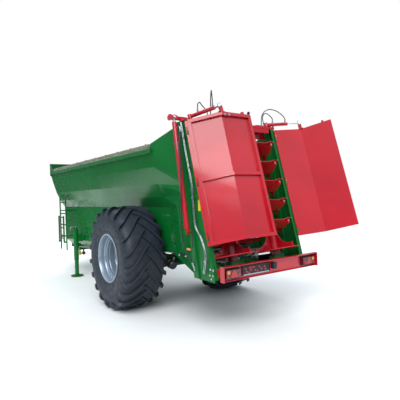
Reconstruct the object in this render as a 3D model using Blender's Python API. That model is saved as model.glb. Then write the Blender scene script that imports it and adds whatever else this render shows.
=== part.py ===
"""Single-axle manure spreader with a deep hopper, two upright beaters and a two-leaf rear hood.

Metres, +Z up.  The sizes below are given in the machine's own layout: x = 0 is the plane of
symmetry (+x is the machine's left side), y = 0 is the axle, +y points to the rear, z = 0 is the
ground.  At the end everything is hung on one empty, which puts the row's origin at the middle of
the drawbar's head plate.
"""
import math
import bpy
import bmesh
from mathutils import Matrix, Vector

# ---------------------------------------------------------------- driving dimensions
GAP = 0.0003                # seat clearance between pieces that touch

TYRE_RADIUS = 0.92
TYRE_WIDTH = 0.76
TRACK = 2.26                # between the wheels' middle planes
RIM_RADIUS = 0.435          # over the rim flanges
RIM_WIDTH = 0.70
DISC_INSET = 0.20           # wheel disc, inboard of the wheel's middle plane
WHEEL_SIDES = 30
HUB_BORE = 0.060
HUB_SIDES = 20
SPINDLE_RADIUS = 0.0587      # turns freely inside the faceted hub bore
BEAM_LOW = 0.630            # dropped axle beam
BEAM_TOP = 0.775

SHEET = 0.008               # hopper wall
HOPPER_FRONT = -4.95
HOPPER_SPLIT = 0.95         # where the straight hopper meets the flared rear end
RAIL_X = 1.06               # half width over the walls at the top rail
RAIL_Z = 2.72
WALL_X = 0.70               # half width over the lower walls, between the wheels
FLOOR_Z = 1.07
FLOOR_T = 0.010
PLANK_HEIGHT = 0.125
PLANK_T = 0.045
BOARD_TOP = 3.02            # top of the front wall
BOARD_OUT = 0.035           # the front board's overhang past the walls
# half section of the folded wall, from the top rail down to the tuck-under
SECTION = [(RAIL_X, RAIL_Z), (1.015, 2.48), (0.930, 2.20), (0.830, 1.98), (WALL_X + 0.015, 1.80),
           (WALL_X, 1.12), (WALL_X, 0.88), (0.52, 0.72)]
LIP_SPLIT = (0.66, 1.03)    # lower edge of the tuck-under, at the split
WALL_OVERRUN = 0.045        # the wall runs past the post, then is cut flush with it
CHAIN_X = 0.36              # the two scraper chains
CHAIN_T = 0.024
SLAT_HALF = 0.62
SLAT_COUNT = 12

FRAME_X = 0.93              # half width over the rear side plates
POST_FOOT_Y = 1.945         # front face of the rear post at z = 1
POST_TILT = math.radians(9.2)
POST_DEPTH = 0.115
FRAME_BOTTOM = 0.785
FRAME_TOP = 3.11
REAR_FOOT_Y = 2.39          # rear face of the side plates at z = 1
REAR_TILT = math.radians(15.3)
FLANGE_WIDTH = 0.075
FLANGE_T = 0.010
PLATE_T = 0.012
POST_INSIDE = 0.030         # the post's reach inboard of the side plate
POST_OUTSIDE = 0.028

GATE_FOOT_Y = 1.575         # sliding gate's plane at z = 1
GATE_HALF = 0.795
GATE_LOW = 0.130
GATE_HEIGHT = 1.80
GATE_LIFT = 1.15
GUIDE_X = 0.80
GATE_CYL_X = 1.02           # gate cylinder's axis
GATE_CYL_BACK = 0.055       # behind the post's front face
GATE_CYL_FOOT = 1.46        # height of the lower pin
GATE_CYL_RADIUS = 0.036
GATE_ROD_RADIUS = 0.020
GATE_PIN_RADIUS = 0.028
GATE_EYE_HALF = 0.026

DOOR_LOW = 0.272            # along the leaning rear frame, from z = 1
DOOR_HEIGHT = 1.89
DOOR_FOLD_X = 0.384         # fold, inboard of the hinge
DOOR_FOLD_Y = 0.373         # fold, behind the hinge
DOOR_BAR = 0.045
DOOR_OPEN = math.radians(120)
DOOR_MEET = 0.005           # half of the gap between the closed leaves
HINGE_BACK = 0.022          # hinge axis behind the flange
HINGE_HEIGHTS = (0.12, 0.93, DOOR_HEIGHT - 0.16)      # door knuckles, above the door's lower edge
KNUCKLE_RADIUS = 0.014
DOOR_SHEET = 0.006
DOOR_START = 0.030          # first edge of the leaf, from the hinge axis
DOOR_MIDDLE = 0.487         # middle bar, as a share of the height

CYL_BASE = (0.80, -0.03)    # door cylinder's base pin in the leaning frame
CYL_PLANE = 2.275           # the cylinders' height along the lean
CYL_RADIUS = 0.030
CYL_EYE = 0.064             # height of the base eye
CYL_BARREL = 0.425
CYL_ROD = 0.335
CYL_ROD_RADIUS = 0.016

BEATER_X = 0.44
BEATER_BACK = -0.12         # beater axis, from the rear face of the side plates
BEATER_RADIUS = 0.40
BEATER_CORE = 0.085
BEATER_PITCH = 0.321
BEATER_LOW = 0.10
BEATER_TOP = 2.05
FLIGHT_START = 0.42         # the spiral's first turn, along the lean
FLIGHT_PHASE = math.radians(150)
FLIGHT_T = 0.010
DISC_RADIUS = 0.415
DISC_T = 0.012
BLADE_HALF = 0.005
INPUT_Y = 1.96              # front face of the beater drive's input

BAR_HALF = 0.95             # light bar
BAR_Y = 2.60
BAR_Z = 0.81
BAR_HEIGHT = 0.205
BAR_DEPTH = 0.075
BAR_SHEET = 0.006
LAMP_X = (0.64, 0.90)
PLATE_X = (0.06, 0.58)      # plate holder, to the left of the middle

HITCH_Y = -6.30
HITCH_Z = 0.62
DRAWBAR_TOP = 0.74
DRAWBAR_LOW = 0.54
CHASSIS_X = 0.42            # outer face of the main girders
CHASSIS_W = 0.10
CHASSIS_FRONT = -4.70
CHASSIS_REAR = 1.90

JACK_X = 0.86
JACK_Y = -3.62
JACK_RADIUS = 0.050         # leg; the tube's bore has 0.5 mm more
LADDER_X = 0.95
LADDER_Y = -4.60
LADDER_WIDTH = 0.50
LADDER_FOOT = 0.64
STEP_HINGE_Z = 0.86
STEP_LENGTH = 0.70
STEP_OUT = 0.055            # the folding part, outboard of the rails
STEP_INSET = 0.045
LADDER_TUBE = 0.017
RUNG_HEIGHTS = (1.02, 1.32, 1.62, 1.92)

DRIVE_Z = 0.855             # shaft under the floor
DOOR_HOSE = 0.016           # diameters
GATE_HOSE = 0.022
# free hoses: name, side, door opened by, end along the barrel, and the route from the crossbeam as
# (x, distance behind the start, height over the beam)
DOOR_HOSES = (
    ("left_base", 1, 0.0, 0.14, ((0.46, 0, 0), (0.46, 0, 0.08), (0.475, 0.004, 0.15), (0.53, 0.022, 0.195),
                                 (0.60, 0.052, 0.225), (0.665, 0.087, 0.255), (0.715, 0.109, 0.225))),
    ("left_rod", 1, 0.0, 0.39, ((0.40, 0, 0), (0.40, 0, 0.10), (0.40, 0.007, 0.26), (0.42, 0.047, 0.39),
                                (0.47, 0.127, 0.45), (0.54, 0.227, 0.41), (0.585, 0.297, 0.31))),
    ("right_base", -1, DOOR_OPEN, 0.14, ((-0.75, 0, 0), (-0.75, 0, 0.06), (-0.73, 0.003, 0.15),
                                         (-0.755, 0.010, 0.225), (-0.83, 0.020, 0.235),
                                         (-0.905, 0.032, 0.185))),
    ("right_rod", -1, DOOR_OPEN, 0.39, ((-0.70, 0, 0), (-0.70, 0, 0.08), (-0.71, 0.002, 0.18),
                                        (-0.77, 0.010, 0.27), (-0.88, 0.037, 0.315), (-1.02, 0.067, 0.29),
                                        (-1.13, 0.097, 0.22))),
)

ORIGIN = Vector((0.0, HITCH_Y, HITCH_Z))

COLOURS = {
    "green": ((0.005, 0.150, 0.035, 1.0), 0.0, 0.25),
    "red": ((0.520, 0.010, 0.020, 1.0), 0.0, 0.25),
    "tyre": ((0.020, 0.022, 0.026, 1.0), 0.0, 0.80),
    "rim": ((0.330, 0.380, 0.430, 1.0), 0.6, 0.40),
    "wood": ((0.190, 0.200, 0.160, 1.0), 0.0, 0.85),
    "black": ((0.015, 0.015, 0.017, 1.0), 0.0, 0.50),
    "rubber": ((0.020, 0.020, 0.022, 1.0), 0.0, 0.60),
    "chrome": ((0.800, 0.800, 0.800, 1.0), 1.0, 0.12),
    "lamp": ((0.350, 0.010, 0.010, 1.0), 0.0, 0.20),
    "yellow": ((0.750, 0.450, 0.020, 1.0), 0.0, 0.40),
    "steel": ((0.300, 0.300, 0.310, 1.0), 0.9, 0.45),
}


# ---------------------------------------------------------------- helpers
def clear_scene():
    for obj in list(bpy.data.objects):
        bpy.data.objects.remove(obj, do_unlink=True)


def material(name, colour):
    mat = bpy.data.materials.new(name)
    mat.use_nodes = True
    base, metallic, roughness = COLOURS[colour]
    shader = mat.node_tree.nodes["Principled BSDF"]
    shader.inputs["Base Color"].default_value = base
    shader.inputs["Metallic"].default_value = metallic
    shader.inputs["Roughness"].default_value = roughness
    return mat


def add_object(name, verts, faces):
    """A new mesh object with all faces turned outwards."""
    mesh = bpy.data.meshes.new(name)
    bm = bmesh.new()
    points = [bm.verts.new(v) for v in verts]
    for face in faces:
        bm.faces.new([points[i] for i in face])
    bmesh.ops.recalc_face_normals(bm, faces=bm.faces)
    bm.to_mesh(mesh)
    bm.free()
    obj = bpy.data.objects.new(name, mesh)
    bpy.context.collection.objects.link(obj)
    return obj


def frame_of(origin, x_axis, y_axis):
    """A matrix from an origin and two directions at right angles."""
    x_axis = Vector(x_axis).normalized()
    y_axis = Vector(y_axis).normalized()
    z_axis = x_axis.cross(y_axis)
    rows = Matrix((x_axis, y_axis, z_axis)).transposed().to_4x4()
    return Matrix.Translation(Vector(origin)) @ rows


def prism(name, outline, low, high, place=Matrix()):
    """A flat outline in local XY, swept from z = low to z = high."""
    count = len(outline)
    verts = [place @ Vector((x, y, z)) for z in (low, high) for x, y in outline]
    faces = [list(range(count)), list(range(count, 2 * count))]
    for i in range(count):
        j = (i + 1) % count
        faces.append([i, j, j + count, i + count])
    return add_object(name, verts, faces)


def side_plate(name, outline, x_low, x_high):
    """An outline in (y, z), swept along x."""
    return prism(name, outline, x_low, x_high, frame_of((0, 0, 0), (0, 1, 0), (0, 0, 1)))


def block(name, low, high, place=Matrix()):
    outline = [(low[0], low[1]), (high[0], low[1]), (high[0], high[1]), (low[0], high[1])]
    return prism(name, outline, low[2], high[2], place)


def rod(name, start, end, radius, sides=12, end_radius=None):
    """A round bar from start to end, or a cone when end_radius is given."""
    start, end = Vector(start), Vector(end)
    place = (end - start).to_track_quat("Z", "Y").to_matrix().to_4x4()
    place = Matrix.Translation(start) @ place
    length = (end - start).length
    top = radius if end_radius is None else end_radius
    verts = []
    for size, z in ((radius, 0.0), (top, length)):
        for i in range(sides):
            turn = 2 * math.pi * i / sides
            verts.append(place @ Vector((size * math.cos(turn), size * math.sin(turn), z)))
    faces = [list(range(sides)), list(range(sides, 2 * sides))]
    for i in range(sides):
        j = (i + 1) % sides
        faces.append([i, j, j + sides, i + sides])
    return add_object(name, verts, faces)


def turned(name, profile, place=Matrix(), sides=48):
    """A closed (radius, height) profile turned about local Z; it stays clear of the axis."""
    count = len(profile)
    verts = []
    for i in range(sides):
        turn = 2 * math.pi * i / sides
        for radius, height in profile:
            verts.append(place @ Vector((radius * math.cos(turn), radius * math.sin(turn), height)))
    faces = []
    for i in range(sides):
        j = (i + 1) % sides
        for k in range(count):
            m = (k + 1) % count
            faces.append([i * count + k, j * count + k, j * count + m, i * count + m])
    return add_object(name, verts, faces)


def pipe_run(name, points, radius, sides=8):
    """A closed round tube through the points, with mitred corners."""
    points = [Vector(p) for p in points]
    rings = []
    up = Vector((0, 0, 1))
    for i, point in enumerate(points):
        before = (point - points[i - 1]).normalized() if i else None
        after = (points[i + 1] - point).normalized() if i + 1 < len(points) else None
        if before is None:
            before = after
        if after is None:
            after = before
        along = (before + after).normalized()
        if i == 0:
            side = along.cross(up)
            if side.length < 0.1:
                side = along.cross(Vector((0, 1, 0)))
            side.normalize()
        side = (side - along * side.dot(along)).normalized()
        other = along.cross(side)
        stretch = 1.0 / max(0.5, along.dot(after))
        bend = (after - before)
        ring = []
        for k in range(sides):
            turn = 2 * math.pi * k / sides
            offset = side * math.cos(turn) * radius + other * math.sin(turn) * radius
            if bend.length > 1e-6:
                axis = bend.normalized()
                offset += axis * (offset.dot(axis) * (stretch - 1.0))
            ring.append(point + offset)
        rings.append(ring)
    verts = [v for ring in rings for v in ring]
    faces = [list(range(sides)), list(range(len(verts) - sides, len(verts)))]
    for i in range(len(rings) - 1):
        for k in range(sides):
            m = (k + 1) % sides
            a, b = i * sides, (i + 1) * sides
            faces.append([a + k, a + m, b + m, b + k])
    return add_object(name, verts, faces)


def boolean(target, tool, operation):
    """Combine target with tool, keep the result's mesh and drop the tool."""
    mod = target.modifiers.new("cut", "BOOLEAN")
    mod.operation = operation
    mod.solver = "EXACT"
    mod.object = tool
    graph = bpy.context.evaluated_depsgraph_get()
    result = bpy.data.meshes.new_from_object(target.evaluated_get(graph))
    old = target.data
    target.modifiers.clear()
    target.data = result
    bpy.data.meshes.remove(old)
    bpy.data.objects.remove(tool, do_unlink=True)
    return target


def fuse(name, pieces):
    """Join overlapping solids into one body."""
    target = pieces[0]
    for piece in pieces[1:]:
        boolean(target, piece, "UNION")
    target.name = name
    return target


def finish(obj, colour, smooth=False, origin=None):
    """Name the material, shade, and put the object's origin on its joint axis."""
    obj.data.name = obj.name
    obj.data.materials.clear()
    obj.data.materials.append(material(obj.name, colour))
    if smooth:
        obj.data.shade_smooth()
        obj.data.set_sharp_from_angle(angle=math.radians(35))
    if origin is not None:
        origin = Vector(origin)
        obj.data.transform(Matrix.Translation(-origin))
        obj.location = origin
    return obj


def mirrored(points, side):
    return [(side * p[0],) + tuple(p[1:]) for p in points]


# ---------------------------------------------------------------- leaning frames
def leaning(foot_y, tilt):
    """Local frame of a plane that leans forward: x across, y rearward, z up along the lean."""
    return Matrix.Translation((0, foot_y, 1.0)) @ Matrix.Rotation(tilt, 4, "X")


REAR = leaning(REAR_FOOT_Y, REAR_TILT)
GATE = leaning(GATE_FOOT_Y, POST_TILT)
POST = leaning(POST_FOOT_Y, POST_TILT)


def post_y(z):
    return POST_FOOT_Y - math.tan(POST_TILT) * (z - 1.0)


def rear_y(z):
    return REAR_FOOT_Y - math.tan(REAR_TILT) * (z - 1.0)


def gate_y(z):
    return GATE_FOOT_Y - math.tan(POST_TILT) * (z - 1.0)


def gate_cylinder_foot(side):
    return Vector((side * GATE_CYL_X, post_y(GATE_CYL_FOOT) + GATE_CYL_BACK, GATE_CYL_FOOT))


# ---------------------------------------------------------------- wheels and axle
def wheel(side, name):
    centre = Vector((side * TRACK / 2, 0, TYRE_RADIUS))
    place = frame_of(centre, (0, side, 0), (0, 0, 1))     # local z points outwards
    half, rim_half, tread = TYRE_WIDTH / 2, RIM_WIDTH / 2, TYRE_RADIUS
    seat = RIM_RADIUS - 0.022
    wall = tread - seat                                   # height of the tyre's section
    tyre_profile = [
        (seat + GAP, rim_half - 0.022), (tread - 0.67 * wall, half - 0.008), (tread - 0.40 * wall, half),
        (tread - 0.14 * wall, half - 0.040), (tread - 0.03 * wall, half - 0.10), (tread, half - 0.22)]
    tyre_profile += [(r, -h) for r, h in reversed(tyre_profile)]
    inner = [(seat + GAP, -rim_half + 0.075), (tread - 0.53 * wall, -half + 0.05),
             (tread - 0.22 * wall, -half + 0.11)]
    inner += [(r, -h) for r, h in reversed(inner)]
    tyre = turned("tyre_" + name, tyre_profile + inner, place, WHEEL_SIDES)
    finish(tyre, "tyre", True, centre)

    lip, well = RIM_RADIUS, RIM_RADIUS - 0.075
    metal = 0.012
    outer = [(lip, rim_half), (seat, rim_half - 0.018), (seat, rim_half - 0.10),
             (well, rim_half - 0.15), (well, -rim_half + 0.13), (seat, -rim_half + 0.10),
             (seat, -rim_half + 0.018), (lip, -rim_half)]
    back = [(r - metal, h) for r, h in reversed(outer)]
    back[0] = (lip - metal, -rim_half)
    disc_low, disc_high = -DISC_INSET - 0.016, -DISC_INSET
    # the inner line of the barrel carries the disc between its two ends
    carried = []
    for r, h in back:
        if not carried or not (carried[-1][1] < disc_low <= h):
            carried.append((r, h))
        else:
            carried += [(well - metal, disc_low - 0.02), (well - 0.06, disc_low), (0.130, disc_low),
                        (0.130, disc_high), (well - 0.06, disc_high), (well - metal, disc_high + 0.02)]
            carried.append((r, h))
    rim = turned("rim_" + name, outer + carried, place, WHEEL_SIDES)
    finish(rim, "rim", True, centre)

    face = disc_high + GAP
    hub_profile = [(HUB_BORE, -DISC_INSET - 0.125), (0.128, -DISC_INSET - 0.125), (0.128, face),
                   (0.185, face), (0.185, face + 0.022), (0.105, face + 0.022), (0.100, face + 0.115),
                   (0.085, face + 0.130), (HUB_BORE, face + 0.130)]
    hub = turned("hub_" + name, hub_profile, place, HUB_SIDES)
    finish(hub, "green", True, centre)


def axle():
    """Dropped square beam, upright carriers, spindles, brake drums and their cylinders."""
    beam = block("axle_beam", (-0.66, -0.075, BEAM_LOW), (0.66, 0.075, BEAM_TOP))
    pieces = [beam]
    spindle_end = TRACK / 2 - DISC_INSET + 0.10
    hub_inner = TRACK / 2 - DISC_INSET - 0.125
    for side in (-1, 1):
        lo, hi = sorted((side * 0.60, side * 0.69))
        pieces.append(block("carrier", (lo, -0.07, BEAM_LOW + 0.01), (hi, 0.07, 0.955)))
        pieces.append(rod("spindle", (side * 0.65, 0, TYRE_RADIUS), (side * spindle_end, 0, TYRE_RADIUS),
                          SPINDLE_RADIUS, HUB_SIDES))
        pieces.append(rod("drum", (side * (WALL_X + 0.012), 0, TYRE_RADIUS),
                          (side * (hub_inner - 0.006), 0, TYRE_RADIUS), 0.20, 20))
        pieces.append(block("lever", (side * 0.63 - 0.02, 0.05, 0.78), (side * 0.63 + 0.02, 0.32, 0.83)))
        pieces.append(rod("chamber", (side * 0.60, 0.30, 0.805), (side * 0.60, 0.50, 0.83), 0.085, 12))
    finish(fuse("axle_beam", pieces), "black")


# ---------------------------------------------------------------- hopper
def lip_z(y):
    """Height of the tuck-under's lower edge along the straight hopper."""
    share = (y - HOPPER_FRONT) / (HOPPER_SPLIT - HOPPER_FRONT)
    return SECTION[7][1] + share * (LIP_SPLIT[1] - SECTION[7][1])


def lip_x(y):
    share = (y - HOPPER_FRONT) / (HOPPER_SPLIT - HOPPER_FRONT)
    return SECTION[7][0] + share * (LIP_SPLIT[0] - SECTION[7][0])


def sheet(name, verts, faces, shift):
    """A closed sheet: the given outer skin, the same skin moved by shift, and the rims between."""
    count = len(verts)
    shift = Vector(shift)
    points = [Vector(v) for v in verts] + [Vector(v) + shift for v in verts]
    edges = {}
    for face in faces:
        for i, a in enumerate(face):
            b = face[(i + 1) % len(face)]
            edges[(a, b)] = True
    rims = [[a, b, b + count, a + count] for a, b in edges if (b, a) not in edges]
    skins = [list(face) for face in faces] + [[i + count for i in face] for face in faces]
    return add_object(name, points, skins + rims)


def hopper_wall(side, name):
    """Folded side wall: straight from the front to the split, flared from there to the rear post."""
    front = [(x, HOPPER_FRONT, z) for x, z in SECTION]
    split = [(x, HOPPER_SPLIT, z) for x, z in SECTION]
    split[6] = (WALL_X, HOPPER_SPLIT, 1.05)
    split[7] = (LIP_SPLIT[0], HOPPER_SPLIT, LIP_SPLIT[1])
    ends = [FRAME_TOP - 0.03, 2.13, 1.99, 1.81, 1.12, 0.80]
    post = [(FRAME_X - 0.002, post_y(z) + WALL_OVERRUN, z) for z in ends]
    flare_x = GUIDE_X + 0.06
    guide = [(flare_x, gate_y(z), z) for z in (1.81, 1.12)]
    wing = (RAIL_X, HOPPER_SPLIT, RAIL_Z + 0.14)
    low_mid = (0.80, 1.30, 0.985)

    verts = front + split + post + guide + [wing, low_mid]
    f, s, p, g, w, m = 0, 8, 16, 22, 24, 25
    faces = [[f + i, f + i + 1, s + i + 1, s + i] for i in range(7)]
    faces += [[w, s, p + 1, p], [s, s + 1, p + 1], [s + 1, s + 2, p + 1], [s + 2, p + 2, p + 1],
              [s + 2, s + 3, p + 2], [s + 3, s + 4, g], [s + 3, g, p + 2], [g, p + 3, p + 2],
              [s + 4, s + 5, g + 1, g], [g, g + 1, p + 4, p + 3],
              [s + 5, s + 6, m, g + 1], [g + 1, m, p + 5, p + 4]]
    wall = sheet("wall", mirrored(verts, side), faces, (-side * SHEET, 0, 0))

    rail = [(-0.035, -0.012), (0.040, -0.012), (0.040, 0.055), (0.030, 0.055),
            (0.030, 0.010), (-0.035, 0.010)]
    rail = [(side * (RAIL_X + x), RAIL_Z + z) for x, z in rail]
    along = frame_of((0, 0, 0), (1, 0, 0), (0, 0, 1))            # local z is -y
    top_rail = prism("rail", rail, -HOPPER_SPLIT - 0.05, -HOPPER_FRONT - 0.001, along)

    guide_low, guide_high = 0.04, GATE_HEIGHT + 0.10
    lip, back = GUIDE_X - 0.035, GUIDE_X + 0.012
    channel = [(lip, -0.030), (flare_x + 0.010, -0.030), (flare_x + 0.010, 0.035), (lip, 0.035),
               (lip, 0.025), (back, 0.025), (back, -0.020), (lip, -0.020)]
    channel = [(side * x, y) for x, y in channel]
    guide_post = prism("guide", channel, guide_low, guide_high, GATE)
    cover = [(flare_x, 0.93), (0.925, 1.23), (0.965, 1.46), (0.975, guide_high - 0.02),
             (flare_x, guide_high - 0.01)]
    cover = [(side * x, z) for x, z in cover]
    upper = prism("cover", cover, -0.006, 0.006, GATE @ Matrix.Rotation(math.radians(90), 4, "X"))

    wall = fuse("hopper_" + name, [wall, top_rail, guide_post, upper])
    flush = block("flush", (-2, -2 * GAP, -1.5), (2, 1.0, 3.0), POST)
    boolean(wall, flush, "DIFFERENCE")
    finish(wall, "green")


def front_wall():
    """Flat front wall with a board that stands higher than the side rails."""
    board_x = RAIL_X + BOARD_OUT
    outline = [(board_x, BOARD_TOP), (board_x, RAIL_Z - 0.03), (RAIL_X, RAIL_Z - 0.06)]
    outline += SECTION[1:5] + [(WALL_X, 0.90)]
    full = outline + [(-x, z) for x, z in reversed(outline)]
    thin = prism("front_wall", full, -HOPPER_FRONT + GAP, -HOPPER_FRONT + 0.008,
                 frame_of((0, 0, 0), (1, 0, 0), (0, 0, 1)))
    pieces = [thin]
    for side in (-1, 1):
        gusset = [(HOPPER_FRONT - 0.004, BOARD_TOP), (HOPPER_FRONT - 0.004, RAIL_Z + 0.058 + GAP),
                  (HOPPER_FRONT + 0.30, RAIL_Z + 0.058 + GAP), (HOPPER_FRONT + 0.27, RAIL_Z + 0.10)]
        lo, hi = sorted((side * board_x, side * (board_x - 0.008)))
        pieces.append(side_plate("gusset", gusset, lo, hi))
    for z in (1.35, 2.05):
        pieces.append(block("rib", (-0.62, HOPPER_FRONT - 0.058, z), (0.62, HOPPER_FRONT - 0.004, z + 0.05)))
    pieces.append(block("lip", (0.001 - board_x, HOPPER_FRONT - 0.045, BOARD_TOP - 0.006),
                        (board_x - 0.001, HOPPER_FRONT - 0.002, BOARD_TOP - 0.0005)))
    finish(fuse("front_wall", pieces), "green")


def plank(side, name):
    low = RAIL_Z + 0.010 + GAP
    x_low = min(side * (RAIL_X + 0.030 - PLANK_T - GAP), side * (RAIL_X + 0.030 - GAP))
    x_high = x_low + PLANK_T
    board = block("plank_" + name, (x_low, HOPPER_FRONT + 0.31, low),
                  (x_high, HOPPER_SPLIT - 0.012, low + PLANK_HEIGHT))
    finish(board, "wood")


def floor():
    inner = WALL_X - SHEET - GAP
    plate = block("floor", (-inner, HOPPER_FRONT + 0.36, FLOOR_Z - FLOOR_T), (inner, 1.50, FLOOR_Z))
    finish(plate, "steel")


def scraper_chain():
    """Two endless chains with slats across, one loop over and under the floor."""
    top, low = FLOOR_Z + 0.004, FLOOR_Z - FLOOR_T - 0.085
    front, back = HOPPER_FRONT + 0.22, 1.60
    radius = (top + CHAIN_T - low) / 2
    middle = (top + CHAIN_T + low) / 2
    inside = radius - CHAIN_T
    pieces = []
    steps = 6
    outer, inner = [], []
    for centre, start in ((back, -90), (front, 90)):
        for i in range(steps + 1):
            turn = math.radians(start + 180 * i / steps)
            outer.append((centre + radius * math.cos(turn), middle + radius * math.sin(turn)))
            inner.append((centre + inside * math.cos(turn), middle + inside * math.sin(turn)))
    for x in (-CHAIN_X, CHAIN_X):
        loop_outer = side_plate("chain", outer, x - 0.018, x + 0.018)
        loop_inner = side_plate("hole", inner, x - 0.05, x + 0.05)
        pieces.append(boolean(loop_outer, loop_inner, "DIFFERENCE"))
    pitch = (back - front) / SLAT_COUNT
    for i in range(SLAT_COUNT):
        y = front + pitch * (i + 0.5)
        for z in (top + 0.002, low - 0.012):
            pieces.append(block("slat", (-SLAT_HALF, y - 0.02, z), (SLAT_HALF, y + 0.02, z + 0.034)))
    finish(fuse("scraper_chain", pieces), "steel")
    shaft_radius = inside * math.cos(math.pi / (2 * steps)) - GAP
    reach = WALL_X - SHEET - GAP
    for label, y in (("rear", back), ("front", front)):
        core = rod("core", (-reach, y, middle), (reach, y, middle), 0.022, 16)
        wheels = [rod("sprocket", (x - 0.02, y, middle), (x + 0.02, y, middle), shaft_radius, 16)
                  for x in (-CHAIN_X, CHAIN_X)]
        finish(fuse("chain_shaft_" + label, [core] + wheels), "steel")


# ---------------------------------------------------------------- chassis
def chassis():
    pieces = []
    for side in (-1, 1):
        outline = [(CHASSIS_FRONT, 0.62), (-0.60, BEAM_TOP + GAP), (0.60, BEAM_TOP + GAP),
                   (CHASSIS_REAR, 0.84), (CHASSIS_REAR, 0.895), (-1.50, 0.895), (CHASSIS_FRONT, 0.80)]
        lo, hi = sorted((side * CHASSIS_X, side * (CHASSIS_X - CHASSIS_W)))
        pieces.append(side_plate("girder", outline, lo, hi))
    for y in (-4.55, -3.2, -1.8, -0.75, 0.75):
        share = (min(y, -0.60) - CHASSIS_FRONT) / (-0.60 - CHASSIS_FRONT)
        low = 0.635 + share * (BEAM_TOP - 0.620)      # follows the girders' lower edge
        pieces.append(block("cross", (-0.40, y, low), (0.40, y + 0.07, low + 0.035)))
    for y in (-4.45, -3.40, -2.30):
        top = lip_z(y) - GAP
        reach = lip_x(y) + 0.03
        for side in (-1, 1):
            lo, hi = sorted((side * 0.40, side * reach))
            pieces.append(block("outrigger", (lo, y, top - 0.06), (hi, y + 0.06, top)))
    finish(fuse("chassis", pieces), "green")


def drawbar():
    half = [(CHASSIS_X, CHASSIS_FRONT - GAP), (CHASSIS_X, -5.0), (0.10, HITCH_Y + 0.03)]
    beam = prism("beam", half + [(-x, y) for x, y in reversed(half)], DRAWBAR_LOW, DRAWBAR_TOP)
    head = block("head", (-0.14, HITCH_Y, HITCH_Z - 0.13), (0.14, HITCH_Y + 0.04, HITCH_Z + 0.13))
    finish(fuse("drawbar", [beam, head]), "green")
    plate = block("plate", (-0.11, HITCH_Y - 0.035, HITCH_Z - 0.10), (0.11, HITCH_Y - GAP, HITCH_Z + 0.10))
    shank = block("shank", (-0.05, HITCH_Y - 0.17, HITCH_Z - 0.035), (0.05, HITCH_Y - 0.03, HITCH_Z + 0.035))
    section = [(0.028, -0.022), (0.075, -0.030), (0.088, 0.0), (0.075, 0.030), (0.028, 0.022)]
    ring = turned("ring", section, Matrix.Translation((0, HITCH_Y - 0.23, HITCH_Z)), 20)
    finish(fuse("towing_eye", [plate, shank, ring]), "steel", True)


def jack():
    socket = rod("socket", (JACK_X, JACK_Y, 0.43), (JACK_X, JACK_Y, 1.22), 0.062, 20)
    bore = rod("bore", (JACK_X, JACK_Y, 0.40), (JACK_X, JACK_Y, 1.10), JACK_RADIUS + 0.0005, 20)
    arm = block("arm", (WALL_X + GAP, JACK_Y - 0.045, 0.90), (JACK_X - 0.02, JACK_Y + 0.045, 1.08))
    head = rod("head", (JACK_X, JACK_Y, 1.20), (JACK_X, JACK_Y, 1.26), 0.035, 12)
    socket = fuse("jack_tube", [socket, arm, head])
    boolean(socket, bore, "DIFFERENCE")
    finish(socket, "green", True)
    leg = rod("leg", (JACK_X, JACK_Y, 0.012), (JACK_X, JACK_Y, 0.78), JACK_RADIUS, 20)
    dish = [(0.02, 0.0), (0.14, 0.0), (0.16, 0.028), (0.152, 0.034), (0.135, 0.014), (0.02, 0.014)]
    foot = turned("foot", dish, Matrix.Translation((JACK_X, JACK_Y, 0)), 24)
    finish(fuse("jack_leg", [leg, foot]), "green", True)


def ladder():
    """Two rails with hooked tops on wall brackets, and a lower part that folds down."""
    y0, y1 = LADDER_Y, LADDER_Y + LADDER_WIDTH
    step_x = LADDER_X + STEP_OUT
    pieces = []
    for y, inwards in ((y0, 1), (y1, -1)):
        run = [(LADDER_X, y, LADDER_FOOT), (LADDER_X, y, 2.04), (LADDER_X - 0.010, y, 2.09),
               (LADDER_X - 0.035, y, 2.10)]
        pieces.append(pipe_run("rail", run, LADDER_TUBE, 8))
        for z in (0.98, 1.70):
            wall = WALL_X + GAP if z < 1.1 else WALL_X + 0.018
            pieces.append(rod("bracket", (wall, y, z), (LADDER_X, y, z), 0.014, 8))
        lo, hi = sorted((y - inwards * 0.010, y + inwards * (STEP_INSET - 0.012 - GAP)))
        pieces.append(block("lug", (LADDER_X - 0.01, lo, STEP_HINGE_Z - 0.018),
                            (step_x + 0.018, hi, STEP_HINGE_Z + 0.018)))
    for z in RUNG_HEIGHTS:
        pieces.append(block("rung", (LADDER_X - 0.020, y0, z - 0.012), (LADDER_X + 0.012, y1, z + 0.012)))
    finish(fuse("ladder", pieces), "green")
    pieces = []
    for y in (y0 + STEP_INSET, y1 - STEP_INSET):
        pieces.append(block("bar", (step_x - 0.018, y - 0.012, STEP_HINGE_Z - 0.018),
                            (step_x + 0.018, y + 0.012, STEP_HINGE_Z + STEP_LENGTH)))
    for z in (0.10, 0.38, 0.66):
        pieces.append(block("tread", (step_x - 0.015, y0 + STEP_INSET, STEP_HINGE_Z + z - 0.012),
                            (step_x + 0.015, y1 - STEP_INSET, STEP_HINGE_Z + z + 0.012)))
    finish(fuse("ladder_step", pieces), "green", False, (step_x, (y0 + y1) / 2, STEP_HINGE_Z))


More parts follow.
